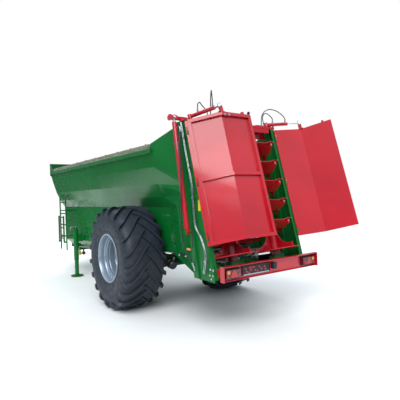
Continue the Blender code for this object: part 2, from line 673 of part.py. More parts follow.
# ---------------------------------------------------------------- rear frame
def rear_frame(side, name):
    """Leaning post, side plate that widens towards the ground, and a rear flange for the door."""
    top, low = FRAME_TOP, FRAME_BOTTOM
    x0 = FRAME_X - PLATE_T
    outline = [(post_y(low) + 0.02, low), (rear_y(0.77) - 0.02, 0.765), (rear_y(0.85), 0.85),
               (rear_y(top), top), (post_y(top) + 0.02, top)]
    lo, hi = sorted((side * x0, side * FRAME_X))
    plate = side_plate("plate", outline, lo, hi)
    post_outline = [(post_y(low), low), (post_y(low) + POST_DEPTH, low), (post_y(top) + POST_DEPTH, top),
                    (post_y(top), top)]
    lo, hi = sorted((side * (x0 - POST_INSIDE), side * (FRAME_X + POST_OUTSIDE)))
    post = side_plate("post", post_outline, lo, hi)
    flange_outline = [(rear_y(0.80) - FLANGE_T, 0.80), (rear_y(0.80), 0.80), (rear_y(top), top),
                      (rear_y(top) - FLANGE_T, top)]
    lo, hi = sorted((side * (FRAME_X - FLANGE_WIDTH), side * FRAME_X))
    flange = side_plate("flange", flange_outline, lo, hi)
    foot = gate_cylinder_foot(side)
    ends = [(side * x, foot.y, foot.z) for x in (FRAME_X + 0.01, GATE_CYL_X + 0.036)]
    boss = rod("boss", ends[0], ends[1], GATE_PIN_RADIUS, 12)
    pieces = [post, plate, flange, boss]
    for z in HINGE_HEIGHTS:
        low, high = DOOR_LOW + z - 0.050, DOOR_LOW + z - GAP
        axis = Vector((side * FRAME_X, HINGE_BACK, 0))
        ends = [REAR @ (axis + Vector((0, 0, z_end))) for z_end in (low, high)]
        pieces.append(rod("knuckle", ends[0], ends[1], KNUCKLE_RADIUS, 12))
        lo, hi = sorted((side * (FRAME_X - 0.030), side * (FRAME_X + 0.008)))
        pieces.append(block("leaf", (lo, -0.006, low + 0.004), (hi, HINGE_BACK - 0.002, high - 0.004), REAR))
    finish(fuse("rear_frame_" + name, pieces), "green")


def rear_beams():
    half = FRAME_X - PLATE_T - POST_INSIDE - GAP
    low = block("beam", (-half, -0.42, -0.15), (half, -0.02, -0.04), REAR)
    boxes = [low]
    for side in (-1, 1):
        boxes.append(rod("gearbox", REAR @ Vector((side * BEATER_X, BEATER_BACK, -0.20)),
                         REAR @ Vector((side * BEATER_X, BEATER_BACK, BEATER_LOW - 0.072)), 0.14, 20))
    boxes.append(block("input", (-0.07, INPUT_Y, 0.795), (0.07, INPUT_Y + 0.14, 0.915)))
    boxes.append(rod("cross_drive", REAR @ Vector((-BEATER_X, BEATER_BACK, -0.11)),
                     REAR @ Vector((BEATER_X, BEATER_BACK, -0.11)), 0.07, 12))
    finish(fuse("beater_drive", boxes), "green")

    # red crossbeam over the beaters, seated on the side frames
    z0 = FRAME_TOP + GAP
    yc = rear_y(FRAME_TOP) - 0.05
    beam = block("top", (-FRAME_X - 0.02, yc - 0.07, z0), (FRAME_X + 0.02, yc + 0.05, z0 + 0.035))
    web = block("web", (-FRAME_X + 0.11, yc + 0.036, z0 - 0.075), (FRAME_X - 0.11, yc + 0.046, z0 + 0.02))
    back = block("back", (-FRAME_X + 0.11, yc - 0.06, z0 - 0.04), (FRAME_X - 0.11, yc - 0.05, z0 + 0.02))
    parts = [beam, web, back]
    for side in (-1, 1):
        head = Vector((side * CYL_BASE[0], CYL_BASE[1], CYL_PLANE - CYL_EYE / 2 - GAP))
        parts.append(rod("stand", REAR @ (head - Vector((0, 0, 0.055))), REAR @ head, 0.026, 12))
    finish(fuse("top_beam", parts), "red")


def door_eye(side, opened):
    """The rod eye's place in the leaning frame, for a door opened by an angle."""
    x = DOOR_FOLD_X * math.cos(opened) - DOOR_FOLD_Y * math.sin(opened)
    y = DOOR_FOLD_X * math.sin(opened) + DOOR_FOLD_Y * math.cos(opened)
    return Vector((side * (FRAME_X - x), HINGE_BACK + y, CYL_PLANE))


def door(side, name, opened):
    """Folded sheet leaf in a frame of square tube, hinged on the rear flange."""
    # local: x inboard from the hinge, y rearward, z up along the lean
    width = FRAME_X - DOOR_MEET
    fx, fy = DOOR_FOLD_X, DOOR_FOLD_Y
    start = DOOR_START
    length = math.hypot(fx, fy)
    ux, uy = fx / length, fy / length

    def band(depth_low, depth_high, z_low, z_high, label):
        """The leaf's cross-section between two depths outside its inner face."""
        def row(depth):
            # outward normal of the slanted panel is (-uy, ux); of the cross panel (0, 1)
            first = (start * ux - uy * depth, start * uy + ux * depth)
            fold = (fx - depth * (1 - ux) / uy, fy + depth)
            last = (width, fy + depth)
            return [first, fold, last]
        outline = row(depth_low) + list(reversed(row(depth_high)))
        return prism(label, outline, z_low, z_high)

    z0, z1 = DOOR_LOW, DOOR_LOW + DOOR_HEIGHT
    pieces = [band(0.0, DOOR_SHEET, z0, z1, "sheet")]
    for low in (z0, z0 + DOOR_HEIGHT * DOOR_MIDDLE, z1 - 0.05):
        pieces.append(band(0.001, DOOR_BAR, low, low + 0.05, "cross_bar"))
    slant = frame_of((0, 0, 0), (ux, uy, 0), (-uy, ux, 0))
    pieces.append(block("hinge_bar", (start, 0.001, z0 + 0.0005),
                        (start + 0.05, DOOR_BAR - 0.0005, z1 - 0.0005), slant))
    pieces.append(block("free_bar", (width - 0.05, fy + 0.001, z0 + 0.0005),
                        (width - 0.0005, fy + DOOR_BAR - 0.0005, z1 - 0.0005)))
    for z in [z0 + height for height in HINGE_HEIGHTS]:
        pieces.append(rod("knuckle", (0, 0, z), (0, 0, z + 0.07), KNUCKLE_RADIUS, 12))
        pieces.append(block("strap", (0.0, -0.003, z + 0.005), (start + 0.03, 0.006, z + 0.065), slant))
    arm_top = CYL_PLANE - 0.030
    pieces.append(block("arm", (fx - 0.030, fy + 0.004, z1 - 0.03), (fx + 0.030, fy + 0.030, arm_top)))
    leaf = fuse("door_" + name, pieces)
    flip = Matrix.Scale(-side, 4, (1, 0, 0))
    turn = Matrix.Rotation(-side * opened, 4, "Z")
    leaf.data.transform(turn @ flip)
    if side > 0:
        leaf.data.flip_normals()
    finish(leaf, "red")
    leaf.matrix_world = REAR @ Matrix.Translation((side * FRAME_X, HINGE_BACK, 0))


def door_cylinder(side, name, opened):
    base = Vector((side * CYL_BASE[0], CYL_BASE[1], CYL_PLANE))
    eye = door_eye(side, opened)
    along = (eye - base).normalized()
    pieces = [rod("barrel", base + along * 0.020, base + along * CYL_BARREL, CYL_RADIUS, 16)]
    up = Vector((0, 0, 1))
    pieces.append(rod("base_eye", base - up * CYL_EYE / 2, base + up * CYL_EYE / 2, 0.034, 16))
    barrel = fuse("door_cylinder_" + name, pieces)
    bore = rod("bore", base + along * 0.10, base + along * (CYL_BARREL + 0.05), CYL_ROD_RADIUS + 0.0005, 12)
    boolean(barrel, bore, "DIFFERENCE")
    finish(barrel, "red", True, base)
    barrel.matrix_world = REAR @ Matrix.Translation(base)
    rod_piece = rod("rod", eye - along * CYL_ROD, eye - along * 0.020, CYL_ROD_RADIUS, 12)
    eye_piece = rod("eye", eye - up * 0.020, eye + up * 0.020, 0.030, 16)
    piston_rod = fuse("door_rod_" + name, [rod_piece, eye_piece])
    finish(piston_rod, "chrome", True, base)
    piston_rod.matrix_world = REAR @ Matrix.Translation(base)


# ---------------------------------------------------------------- gate
def gate():
    leaf = block("leaf", (-GATE_HALF, -0.005, GATE_LOW), (GATE_HALF, 0.005, GATE_HEIGHT), GATE)
    pieces = [leaf]
    for z in (GATE_LOW + 0.01, 0.65, 1.20, GATE_HEIGHT - 0.06):
        reach = GATE_HALF - 0.045
        pieces.append(block("rib", (-reach, 0.003, z), (reach, 0.030, z + 0.055), GATE))
    top = FRAME_TOP + 0.055
    for side in (-1, 1):
        lo, hi = sorted((side * (GUIDE_X - 0.028), side * (GATE_HALF - 0.002)))
        for z in (GATE_LOW + 0.02, 0.70):
            pieces.append(block("shoe", (lo, -0.020 + GAP, z), (hi, 0.025 - GAP, z + 0.10), GATE))
        y_post = post_y(top) + GATE_CYL_BACK
        root = 1.0 + GATE_HEIGHT * math.cos(POST_TILT) - 0.277
        arm = [(gate_y(root) + 0.003, root), (gate_y(root) + 0.035, root), (gate_y(2.90) + 0.045, 2.90),
               (y_post - 0.06, 3.04), (y_post - 0.06, top + 0.04), (y_post - 0.11, top + 0.04),
               (y_post - 0.11, 3.10), (gate_y(2.94) + 0.005, 2.97), (gate_y(2.75) + 0.003, 2.75)]
        lo, hi = sorted((side * (GATE_HALF - 0.060), side * (GATE_HALF - 0.035)))
        pieces.append(side_plate("arm", arm, lo, hi))
        lo, hi = sorted((side * (GATE_HALF - 0.059), side * (GATE_CYL_X + 0.045)))
        pieces.append(block("bridge", (lo, y_post - 0.115, top - 0.005), (hi, y_post - 0.055, top + 0.045)))
        for x in (GATE_CYL_X - 0.037, GATE_CYL_X + 0.037):
            ear = [(y_post - 0.09, top - 0.025), (y_post + 0.045, top - 0.025), (y_post + 0.045, top + 0.035),
                   (y_post - 0.02, top + 0.065), (y_post - 0.09, top + 0.065)]
            pieces.append(side_plate("ear", ear, side * x - 0.008, side * x + 0.008))
    finish(fuse("gate", pieces), "red")


def gate_cylinder(side, name):
    up = (POST @ Vector((0, 0, 1)) - POST @ Vector((0, 0, 0))).normalized()
    foot = gate_cylinder_foot(side)
    pin_z = FRAME_TOP + 0.065
    length = (pin_z - GATE_CYL_FOOT) / up.z
    barrel = rod("barrel", foot + up * 0.03, foot + up * (length - 0.075), GATE_CYL_RADIUS, 16)
    across = Vector((GATE_EYE_HALF, 0, 0))
    lug = rod("lug", foot - across, foot + across, 0.042, 16)
    body = fuse("gate_cylinder_" + name, [barrel, lug])
    pin_bore = rod("pin_bore", foot - 2 * across, foot + 2 * across, GATE_PIN_RADIUS + GAP, 12)
    boolean(body, pin_bore, "DIFFERENCE")
    bore = rod("bore", foot + up * 0.12, foot + up * length, GATE_ROD_RADIUS + 0.0005, 12)
    boolean(body, bore, "DIFFERENCE")
    finish(body, "red", True)
    piston = rod("piston", foot + up * 0.15, foot + up * (length - 0.01), GATE_ROD_RADIUS, 12)
    pin = foot + up * length
    eye = rod("eye", pin - across, pin + across, 0.032, 16)
    finish(fuse("gate_rod_" + name, [piston, eye]), "chrome", True)


# ---------------------------------------------------------------- beaters
def beater(side, name):
    """Core tube with one spiral flight; the two beaters are handed."""
    place = REAR @ Matrix.Translation((side * BEATER_X, BEATER_BACK, 0))
    core = rod("core", (0, 0, BEATER_LOW + 0.020), (0, 0, BEATER_TOP), BEATER_CORE, 20)
    turns = (BEATER_TOP - 0.06 - FLIGHT_START) / BEATER_PITCH
    steps = int(turns * 10)
    root = BEATER_CORE - 0.012
    corners = ((root, 0), (BEATER_RADIUS, 0), (BEATER_RADIUS, FLIGHT_T), (root, FLIGHT_T))
    verts = []
    for i in range(steps + 1):
        turn = FLIGHT_PHASE + 2 * math.pi * turns * i / steps
        height = FLIGHT_START + BEATER_PITCH * turns * i / steps
        c, s = math.cos(turn), math.sin(turn) * side
        for r, z in corners:
            verts.append((r * c, r * s, height + z))
    faces = [[0, 1, 2, 3], [4 * steps + k for k in range(4)]]
    for i in range(steps):
        for k in range(4):
            m = (k + 1) % 4
            a, b = 4 * i, 4 * (i + 1)
            faces += [[a + k, a + m, b + m], [a + k, b + m, b + k]]
    flight = add_object("flight", verts, faces)
    body = fuse("beater_" + name, [core, flight])
    finish(body, "red", True)
    body.matrix_world = place

    disc = rod("disc", (0, 0, BEATER_LOW - DISC_T), (0, 0, BEATER_LOW), DISC_RADIUS, 28)
    neck = rod("neck", (0, 0, BEATER_LOW - 0.072 + GAP), (0, 0, BEATER_LOW + 0.020 - GAP), BEATER_CORE, 20)
    pieces = [disc, neck]
    blade_in, blade_out = BEATER_CORE + 0.002, DISC_RADIUS - 0.01
    blade = [(blade_in, BEATER_LOW - 0.004), (blade_out, BEATER_LOW - 0.004), (blade_out, BEATER_LOW + 0.075)]
    arc = 8
    for i in range(arc + 1):
        turn = math.radians(90 * i / arc)
        blade.append((DISC_RADIUS - 0.035 - 0.255 * math.sin(turn),
                      BEATER_LOW + 0.060 + 0.230 * (1 - math.cos(turn))))
    blade.append((blade_in, BEATER_LOW + 0.290))
    for k in range(4):
        stand = Matrix.Rotation(math.radians(90 * k), 4, "Z") @ Matrix.Rotation(math.radians(90), 4, "X")
        pieces.append(prism("blade", blade, -BLADE_HALF, BLADE_HALF, stand))
    wheel_piece = fuse("beater_disc_" + name, pieces)
    finish(wheel_piece, "red")
    wheel_piece.matrix_world = place


# ---------------------------------------------------------------- lights
def lights():
    z0, z1 = BAR_Z, BAR_Z + BAR_HEIGHT
    y0, y1 = BAR_Y, BAR_Y + BAR_DEPTH
    pieces = [block("back", (-BAR_HALF, y0, z0), (BAR_HALF, y0 + BAR_SHEET, z1)),
              block("top", (-BAR_HALF, y0 + 0.001, z1 - BAR_SHEET), (BAR_HALF, y1, z1 - 0.0002)),
              block("low", (-BAR_HALF, y0 + 0.001, z0 + 0.0002), (BAR_HALF, y1 - 0.03, z0 + BAR_SHEET))]
    for side in (-1, 1):
        lo, hi = sorted((side * (BAR_HALF - 0.008), side * (BAR_HALF + 0.006)))
        pieces.append(block("end", (lo, y0 - 0.001, z0 - 0.004), (hi, y1 + 0.002, z1 + 0.004)))
        lo, hi = sorted((side * (FRAME_X - 0.07), side * (FRAME_X - 0.06)))
        arm = [(rear_y(0.83) + GAP, 0.83), (y0 + 0.004, 0.85), (y0 + 0.004, 0.98), (rear_y(0.95) + GAP, 0.95)]
        pieces.append(side_plate("arm", arm, lo, hi))
    finish(fuse("light_bar", pieces), "red")
    face = y0 + BAR_SHEET + GAP
    for side, name in ((1, "left"), (-1, "right")):
        lo, hi = sorted((side * LAMP_X[0], side * LAMP_X[1]))
        finish(block("lamp_" + name, (lo, face, z0 + 0.045), (hi, face + 0.055, z0 + 0.155)), "lamp")
    holder = block("plate_holder", (PLATE_X[0], face, z0 + 0.040), (PLATE_X[1], face + 0.020, z0 + 0.165))
    finish(holder, "black")


# ---------------------------------------------------------------- small parts
def side_bracket():
    x = WALL_X + 0.018 + GAP
    run = [(x, -3.50, 0.97), (x, -3.40, 1.09), (x, -2.80, 1.09), (x, -2.66, 0.97)]
    finish(pipe_run("side_bracket", run, 0.018, 8), "green")


def driveline():
    """Input gearbox on the drawbar, and the shaft under the floor to the beaters' drive."""
    box = block("box", (-0.13, -5.22, DRAWBAR_TOP + GAP), (0.13, -4.98, 0.96))
    stub = rod("stub", (0, -5.34, DRIVE_Z), (0, -5.20, DRIVE_Z), 0.0175, 12)
    finish(fuse("input_gearbox", [box, stub]), "green")
    shaft = rod("drive_shaft", (0, -4.98 + GAP, DRIVE_Z), (0, INPUT_Y - GAP, DRIVE_Z), 0.030, 12)
    finish(shaft, "steel", True)


def smooth_run(points, per_span):
    """Points along a smooth curve through the route's own points."""
    route = [Vector(p) for p in points]
    route = [2 * route[0] - route[1]] + route + [2 * route[-1] - route[-2]]
    out = []
    for i in range(1, len(route) - 2):
        a, b, c, d = route[i - 1:i + 3]
        for k in range(per_span):
            t = k / per_span
            out.append(0.5 * (2 * b + (c - a) * t + (2 * a - 5 * b + 4 * c - d) * t * t
                              + (3 * b - a - 3 * c + d) * t ** 3))
    out.append(route[-2])
    return out


def hose(name, points, diameter):
    data = bpy.data.curves.new(name, "CURVE")
    data.dimensions = "3D"
    data.bevel_depth = diameter / 2
    data.bevel_resolution = 2
    data.use_fill_caps = True
    data.render_resolution_u = 0
    run = smooth_run(points, 3)
    spline = data.splines.new("POLY")
    spline.points.add(len(run) - 1)
    for point, place in zip(spline.points, run):
        point.co = (place.x, place.y, place.z, 1.0)
    obj = bpy.data.objects.new(name, data)
    bpy.context.collection.objects.link(obj)
    obj.data.materials.append(material(name, "rubber"))
    return obj


def door_hoses():
    """Two free hoses to each door cylinder, from the crossbeam to the barrel."""
    beam_top = FRAME_TOP + GAP + 0.035 + 0.0009      # just clear of the crossbeam
    y_beam = rear_y(FRAME_TOP) - 0.06
    for name, side, opened, share, route in DOOR_HOSES:
        base = Vector((side * CYL_BASE[0], CYL_BASE[1], CYL_PLANE))
        along = (door_eye(side, opened) - base).normalized()
        end = REAR @ (base + along * share + Vector((0, 0, CYL_RADIUS + 0.004)))
        run = [(x, y_beam + back, beam_top + height) for x, back, height in route]
        hose("hose_" + name, run + [end + Vector((0, 0, 0.06)), end], DOOR_HOSE)


def gate_hose():
    """The lifting hose, laid down the outside of the left post."""
    x = FRAME_X + POST_OUTSIDE + GATE_HOSE / 2 + GAP
    heights = ((2.98, 0.096), (2.70, 0.094), (2.40, 0.097), (2.10, 0.099), (1.80, 0.097), (1.50, 0.101),
               (1.25, 0.100), (1.10, 0.104), (0.98, 0.110))
    hose("gate_hose", [(x, post_y(z) + back, z) for z, back in heights], GATE_HOSE)


def machine():
    clear_scene()
    for side, name in ((1, "left"), (-1, "right")):
        wheel(side, name)
        hopper_wall(side, name)
        plank(side, name)
        rear_frame(side, name)
        gate_cylinder(side, name)
        beater(side, name)
    axle()
    front_wall()
    floor()
    scraper_chain()
    chassis()
    drawbar()
    jack()
    ladder()
    rear_beams()
    door(1, "left", 0.0)
    door(-1, "right", DOOR_OPEN)
    door_cylinder(1, "left", 0.0)
    door_cylinder(-1, "right", DOOR_OPEN)
    gate()
    lights()
    side_bracket()
    driveline()
    door_hoses()
    gate_hose()
    hung = bpy.data.objects.new("machine", None)
    bpy.context.collection.objects.link(hung)
    for obj in list(bpy.data.objects):
        if obj is not hung and obj.parent is None:
            obj.parent = hung
    hung.location = -ORIGIN


machine()
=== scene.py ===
"""Looks of a single-axle manure spreader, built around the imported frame.

Shapes are laid out in the machine's own coordinates (x = 0 symmetry plane, +x left, y = 0 axle,
+y rear, z = 0 ground) and moved into the row frame by PLACE.
"""
import math
import bmesh
import bpy
from mathutils import Matrix, Vector


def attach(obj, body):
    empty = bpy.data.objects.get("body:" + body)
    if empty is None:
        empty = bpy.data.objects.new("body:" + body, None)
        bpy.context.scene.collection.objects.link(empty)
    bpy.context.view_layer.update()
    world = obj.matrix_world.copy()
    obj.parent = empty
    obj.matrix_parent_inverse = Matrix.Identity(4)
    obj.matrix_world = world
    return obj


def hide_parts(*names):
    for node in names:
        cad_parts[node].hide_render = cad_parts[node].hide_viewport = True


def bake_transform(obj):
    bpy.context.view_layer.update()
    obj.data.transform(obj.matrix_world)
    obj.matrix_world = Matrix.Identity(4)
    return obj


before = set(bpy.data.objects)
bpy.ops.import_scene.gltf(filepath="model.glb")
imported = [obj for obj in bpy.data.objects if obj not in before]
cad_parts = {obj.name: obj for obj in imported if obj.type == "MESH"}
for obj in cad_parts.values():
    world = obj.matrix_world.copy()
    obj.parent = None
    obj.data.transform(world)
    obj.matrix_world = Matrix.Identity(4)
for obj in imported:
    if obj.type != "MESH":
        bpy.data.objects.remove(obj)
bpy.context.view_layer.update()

ROOT = "machine_frame"
SHIFT = Vector((0.0, 6.30, -0.62))
PLACE = Matrix.Translation(SHIFT)
GROUND = SHIFT.z

# sizes shared with the solids
TYRE_RADIUS, TRACK_HALF = 0.92, 1.13
RAIL_X, RAIL_Z = 1.06, 2.72
WALL_X = 0.70
FRAME_X, FRAME_TOP = 0.93, 3.11
REAR_TILT, REAR_FOOT_Y = math.radians(15.3), 2.39
HINGE_BACK = 0.022
FOLD_X, FOLD_Y = 0.384, 0.373
DOOR_LOW, DOOR_HEIGHT = 0.272, 1.89
DOOR_OPEN = math.radians(120)
CYL_BASE, CYL_PLANE, CYL_RADIUS = (0.80, -0.03), 2.275, 0.030
BEATER_X, BEATER_BACK, BEATER_CORE = 0.44, -0.12, 0.085
BEATER_LOW, BEATER_TOP, BEATER_PITCH = 0.10, 2.05, 0.321
FLIGHT_START, FLIGHT_PHASE = 0.42, math.radians(150)
LUG_COUNT, LUG_SWEEP = 20, 0.46
NUT_COUNT, NUT_CIRCLE = 10, 0.152
RAIL_BOLTS, RAIL_BOLT_START, RAIL_BOLT_PITCH = 10, -4.45, 0.585
HOSE_RADIUS = 0.008
HOSE_BACK = 0.06
LIGHT_Y, LIGHT_Z = 2.60, 0.81
SIDES = ((1, "left"), (-1, "right"))


# frame of the leaning rear plane: z runs up the lean from a foot 1 m above the ground
REAR = Matrix.Translation((0, REAR_FOOT_Y, 1.0)) @ Matrix.Rotation(REAR_TILT, 4, "X")


def rear_y(z):
    return REAR_FOOT_Y - math.tan(REAR_TILT) * (z - 1.0)


# ---------------------------------------------------------------- camera
def camera():
    place = Vector((4.2348, 6.8647, 1.9666)) + SHIFT
    yaw, pitch, roll = 2.510945, -0.010619, -0.031255
    lens_px, centre_x, centre_y = 403.19, 207.98, 200.62
    rise = -pitch
    back = Vector((math.sin(yaw) * math.cos(rise), -math.cos(yaw) * math.cos(rise), math.sin(rise)))
    right = (-back).cross(Vector((0, 0, 1))).normalized()
    up = right.cross(-back)
    side = math.cos(roll) * right + math.sin(roll) * up
    top = -math.sin(roll) * right + math.cos(roll) * up
    data = bpy.data.cameras.new("camera")
    data.sensor_width = 36.0
    data.lens = lens_px / 400 * 36.0
    data.shift_x = (200 - centre_x) / 400
    data.shift_y = (centre_y - 200) / 400
    data.clip_end = 500
    obj = bpy.data.objects.new("camera", data)
    bpy.context.scene.collection.objects.link(obj)
    turn = Matrix((side, top, back)).transposed().to_4x4()
    obj.matrix_world = Matrix.Translation(place) @ turn
    bpy.context.scene.camera = obj


# ---------------------------------------------------------------- materials
class Shader:
    """A Principled material with short calls for its nodes."""

    def __init__(self, name, **values):
        self.mat = bpy.data.materials.new(name)
        self.mat.use_nodes = True
        self.tree = self.mat.node_tree
        self.out = self.tree.nodes["Principled BSDF"]
        for key, value in values.items():
            self.out.inputs[key.replace("_", " ")].default_value = value
        self.coord = self.tree.nodes.new("ShaderNodeTexCoord").outputs["Object"]

    def node(self, kind, inputs=(), **props):
        made = self.tree.nodes.new("ShaderNode" + kind)
        for key, value in props.items():
            setattr(made, key, value)
        for key, value in dict(inputs).items():
            if isinstance(value, bpy.types.NodeSocket):
                self.tree.links.new(value, made.inputs[key])
            else:
                made.inputs[key].default_value = value
        return made

    def stretch(self, scale):
        return self.node("Mapping", {"Vector": self.coord, "Scale": scale}).outputs["Vector"]

    def noise(self, scale, detail=3.0, rough=0.5, vector=None):
        made = self.node("TexNoise", {"Vector": vector or self.coord, "Scale": scale, "Detail": detail,
                                      "Roughness": rough})
        return made.outputs["Fac"]

    def span(self, value, low, high, to_low=0.0, to_high=1.0):
        made = self.node("MapRange", {"Value": value, "From Min": low, "From Max": high, "To Min": to_low,
                                      "To Max": to_high}, interpolation_type="SMOOTHSTEP")
        return made.outputs["Result"]

    def math(self, how, a, b):
        return self.node("Math", {0: a, 1: b}, operation=how).outputs["Value"]

    def mix(self, amount, a, b):
        return self.node("MixRGB", {"Fac": amount, "Color1": a, "Color2": b}).outputs["Color"]

    def height(self):
        return self.node("SeparateXYZ", {"Vector": self.coord}).outputs["Z"]

    def bump(self, value, strength, distance, under=None):
        inputs = {"Height": value, "Strength": strength, "Distance": distance}
        if under is not None:
            inputs["Normal"] = under
        return self.node("Bump", inputs).outputs["Normal"]

    def link(self, socket, value):
        self.tree.links.new(value, self.out.inputs[socket])


def rgba(colour, share=1.0):
    return (colour[0] * share, colour[1] * share, colour[2] * share, 1.0)


DUST = (0.150, 0.135, 0.110, 1.0)


def paint(name, colour, rough=(0.13, 0.26), dust=0.10, wave=0.12, shade=0.80, fine=0.02, coat=0.25, metal=0.0,
          ior=1.42):
    """Sprayed gloss paint on sheet metal: soft dents, orange peel, a little dust low down."""
    s = Shader(name, Coat_Weight=coat, Coat_Roughness=0.05, IOR=ior, Metallic=metal)
    cloud = s.noise(1.1, 4.0)
    tint = s.mix(s.span(cloud, 0.30, 0.70), rgba(colour, shade), rgba(colour))
    low = s.span(s.height(), GROUND + 1.5, GROUND + 0.3)
    speck = s.span(s.noise(26.0, 6.0, 0.65), 0.45, 0.70)
    amount = s.math("MULTIPLY", s.math("MULTIPLY", low, speck), dust)
    s.link("Base Color", s.mix(amount, tint, DUST))
    s.link("Roughness", s.span(s.noise(1.3, 2.0), 0.3, 0.7, rough[0], rough[1]))
    sheet = s.bump(s.noise(1.7, 1.0), wave, 0.05)
    s.link("Normal", s.bump(s.noise(260.0, 2.0), fine, 0.001, sheet))
    return s.mat


def rubber(name, colour, rough=(0.55, 0.80), grain=90.0, dust=0.25):
    s = Shader(name, IOR=1.45)
    blotch = s.span(s.noise(7.0, 6.0, 0.6), 0.35, 0.70)
    tint = s.mix(blotch, rgba(colour, 0.75), rgba(colour, 1.15))
    grey = s.math("MULTIPLY", s.span(s.noise(18.0, 5.0, 0.7), 0.50, 0.75), dust)
    s.link("Base Color", s.mix(grey, tint, DUST))
    s.link("Roughness", s.span(s.noise(12.0, 4.0), 0.3, 0.7, rough[0], rough[1]))
    s.link("Normal", s.bump(s.noise(grain, 4.0), 0.15, 0.003))
    return s.mat


def wood(name):
    """Weathered plank with long grain."""
    s = Shader(name, IOR=1.4)
    grain = s.noise(14.0, 6.0, 0.6, s.stretch((6.0, 0.25, 6.0)))
    fine = s.noise(60.0, 3.0, 0.5, s.stretch((5.0, 0.15, 5.0)))
    tint = s.mix(s.span(grain, 0.35, 0.68), (0.120, 0.128, 0.088, 1), (0.275, 0.290, 0.215, 1))
    s.link("Base Color", s.mix(s.span(fine, 0.5, 0.75, 0.0, 0.55), tint, (0.070, 0.066, 0.045, 1)))
    s.link("Roughness", s.span(grain, 0.3, 0.7, 0.70, 0.92))
    s.link("Normal", s.bump(fine, 0.5, 0.004))
    return s.mat


def metal(name, colour, rough=(0.2, 0.4), brushed=(1.0, 1.0, 1.0), grain=40.0, stain=0.3, bump=0.05):
    s = Shader(name, Metallic=1.0)
    streak = s.noise(grain, 4.0, 0.6, s.stretch(brushed))
    blot = s.span(s.noise(4.0, 5.0, 0.65), 0.45, 0.75, 0.0, stain)
    tint = s.mix(s.span(streak, 0.3, 0.7), rgba(colour, 0.85), rgba(colour))
    s.link("Base Color", s.mix(blot, tint, (0.10, 0.085, 0.07, 1)))
    s.link("Roughness", s.span(streak, 0.3, 0.7, rough[0], rough[1]))
    s.link("Normal", s.bump(streak, bump, 0.002))
    return s.mat


def plastic(name, colour, rough=(0.35, 0.50), ribs=0.0, **values):
    s = Shader(name, IOR=1.48, **values)
    s.link("Base Color", s.mix(s.span(s.noise(9.0, 4.0), 0.3, 0.7), rgba(colour, 0.85), rgba(colour)))
    s.link("Roughness", s.span(s.noise(30.0, 3.0), 0.3, 0.7, rough[0], rough[1]))
    if ribs:
        wave = s.node("TexWave", {"Vector": s.coord, "Scale": ribs, "Distortion": 0.0}, bands_direction="X")
        s.link("Normal", s.bump(wave.outputs["Fac"], 0.4, 0.003))
    else:
        s.link("Normal", s.bump(s.noise(400.0, 2.0), 0.08, 0.0006))
    return s.mat


GREEN = (0.002, 0.135, 0.022)
RED = (0.520, 0.006, 0.018)
MATERIALS = {
    "green": paint("green_gloss", GREEN, (0.20, 0.34), 0.03, 0.10, 0.88, 0.004, 0.08, ior=1.30),
    "green_dark": paint("green_frame", GREEN, (0.2, 0.36), 0.15, 0.05, 0.75, 0.004, 0.10, ior=1.32),
    "red": paint("red_gloss", RED, (0.09, 0.18), 0.10, 0.16, 0.82, 0.02, 0.55),
    "tyre": rubber("tyre_tread", (0.014, 0.021, 0.034), (0.42, 0.66), 90.0, 0.12),
    "rim": paint("rim_silver", (0.30, 0.37, 0.45), (0.28, 0.42), 0.12, 0.02, 0.85, 0.02, 0.2, 0.45),
    "wood": wood("grey_plank"),
    "black": paint("black_satin", (0.012, 0.012, 0.014), (0.35, 0.55), 0.35, 0.02, 0.8, 0.03, 0.1),
    "hose": rubber("hose_cover", (0.030, 0.033, 0.040), (0.40, 0.60), 420.0, 0.15),
    "chrome": metal("chrome_rod", (0.86, 0.87, 0.89), (0.05, 0.12), (1, 1, 1), 60.0, 0.04, 0.01),
    "zinc": metal("zinc_plated", (0.46, 0.49, 0.53), (0.22, 0.38), (1, 1, 1), 90.0, 0.10, 0.05),
    "chain": metal("chain_steel", (0.10, 0.10, 0.10), (0.45, 0.70), (1, 0.2, 1), 60.0, 0.6, 0.15),
    "steel": metal("worn_steel", (0.42, 0.42, 0.43), (0.35, 0.60), (1, 0.1, 1), 60.0, 0.55, 0.12),
    "lens": plastic("red_lens", (0.420, 0.004, 0.006), (0.08, 0.16), 60.0, Coat_Weight=0.8),
    "lens_dark": plastic("dark_red_lens", (0.110, 0.002, 0.004), (0.08, 0.16), 45.0, Coat_Weight=0.8),
    "amber": plastic("amber_lens", (0.700, 0.260, 0.008), (0.08, 0.16), 50.0, Coat_Weight=0.8),
    "trim": plastic("black_plastic", (0.014, 0.015, 0.018)),
    "yellow": plastic("yellow_plastic", (0.720, 0.520, 0.020), (0.3, 0.45)),
    "maroon": plastic("dark_red_plastic", (0.180, 0.008, 0.020), (0.3, 0.45)),
}


# ---------------------------------------------------------------- shapes
def turn_to(normal):
    return Vector(normal).to_track_quat("Z", "Y").to_matrix().to_4x4()


def smooth_run(points, per_span=6):
    """Points along a smooth curve through the route's own points."""
    route = [Vector(p) for p in points]
    route = [2 * route[0] - route[1]] + route + [2 * route[-1] - route[-2]]
    out = []
    for i in range(1, len(route) - 2):
        a, b, c, d = route[i - 1:i + 3]
        for k in range(per_span):
            t = k / per_span
            out.append(0.5 * (2 * b + (c - a) * t + (2 * a - 5 * b + 4 * c - d) * t * t
                              + (3 * b - a - 3 * c + d) * t ** 3))
    out.append(route[-2])
    return out


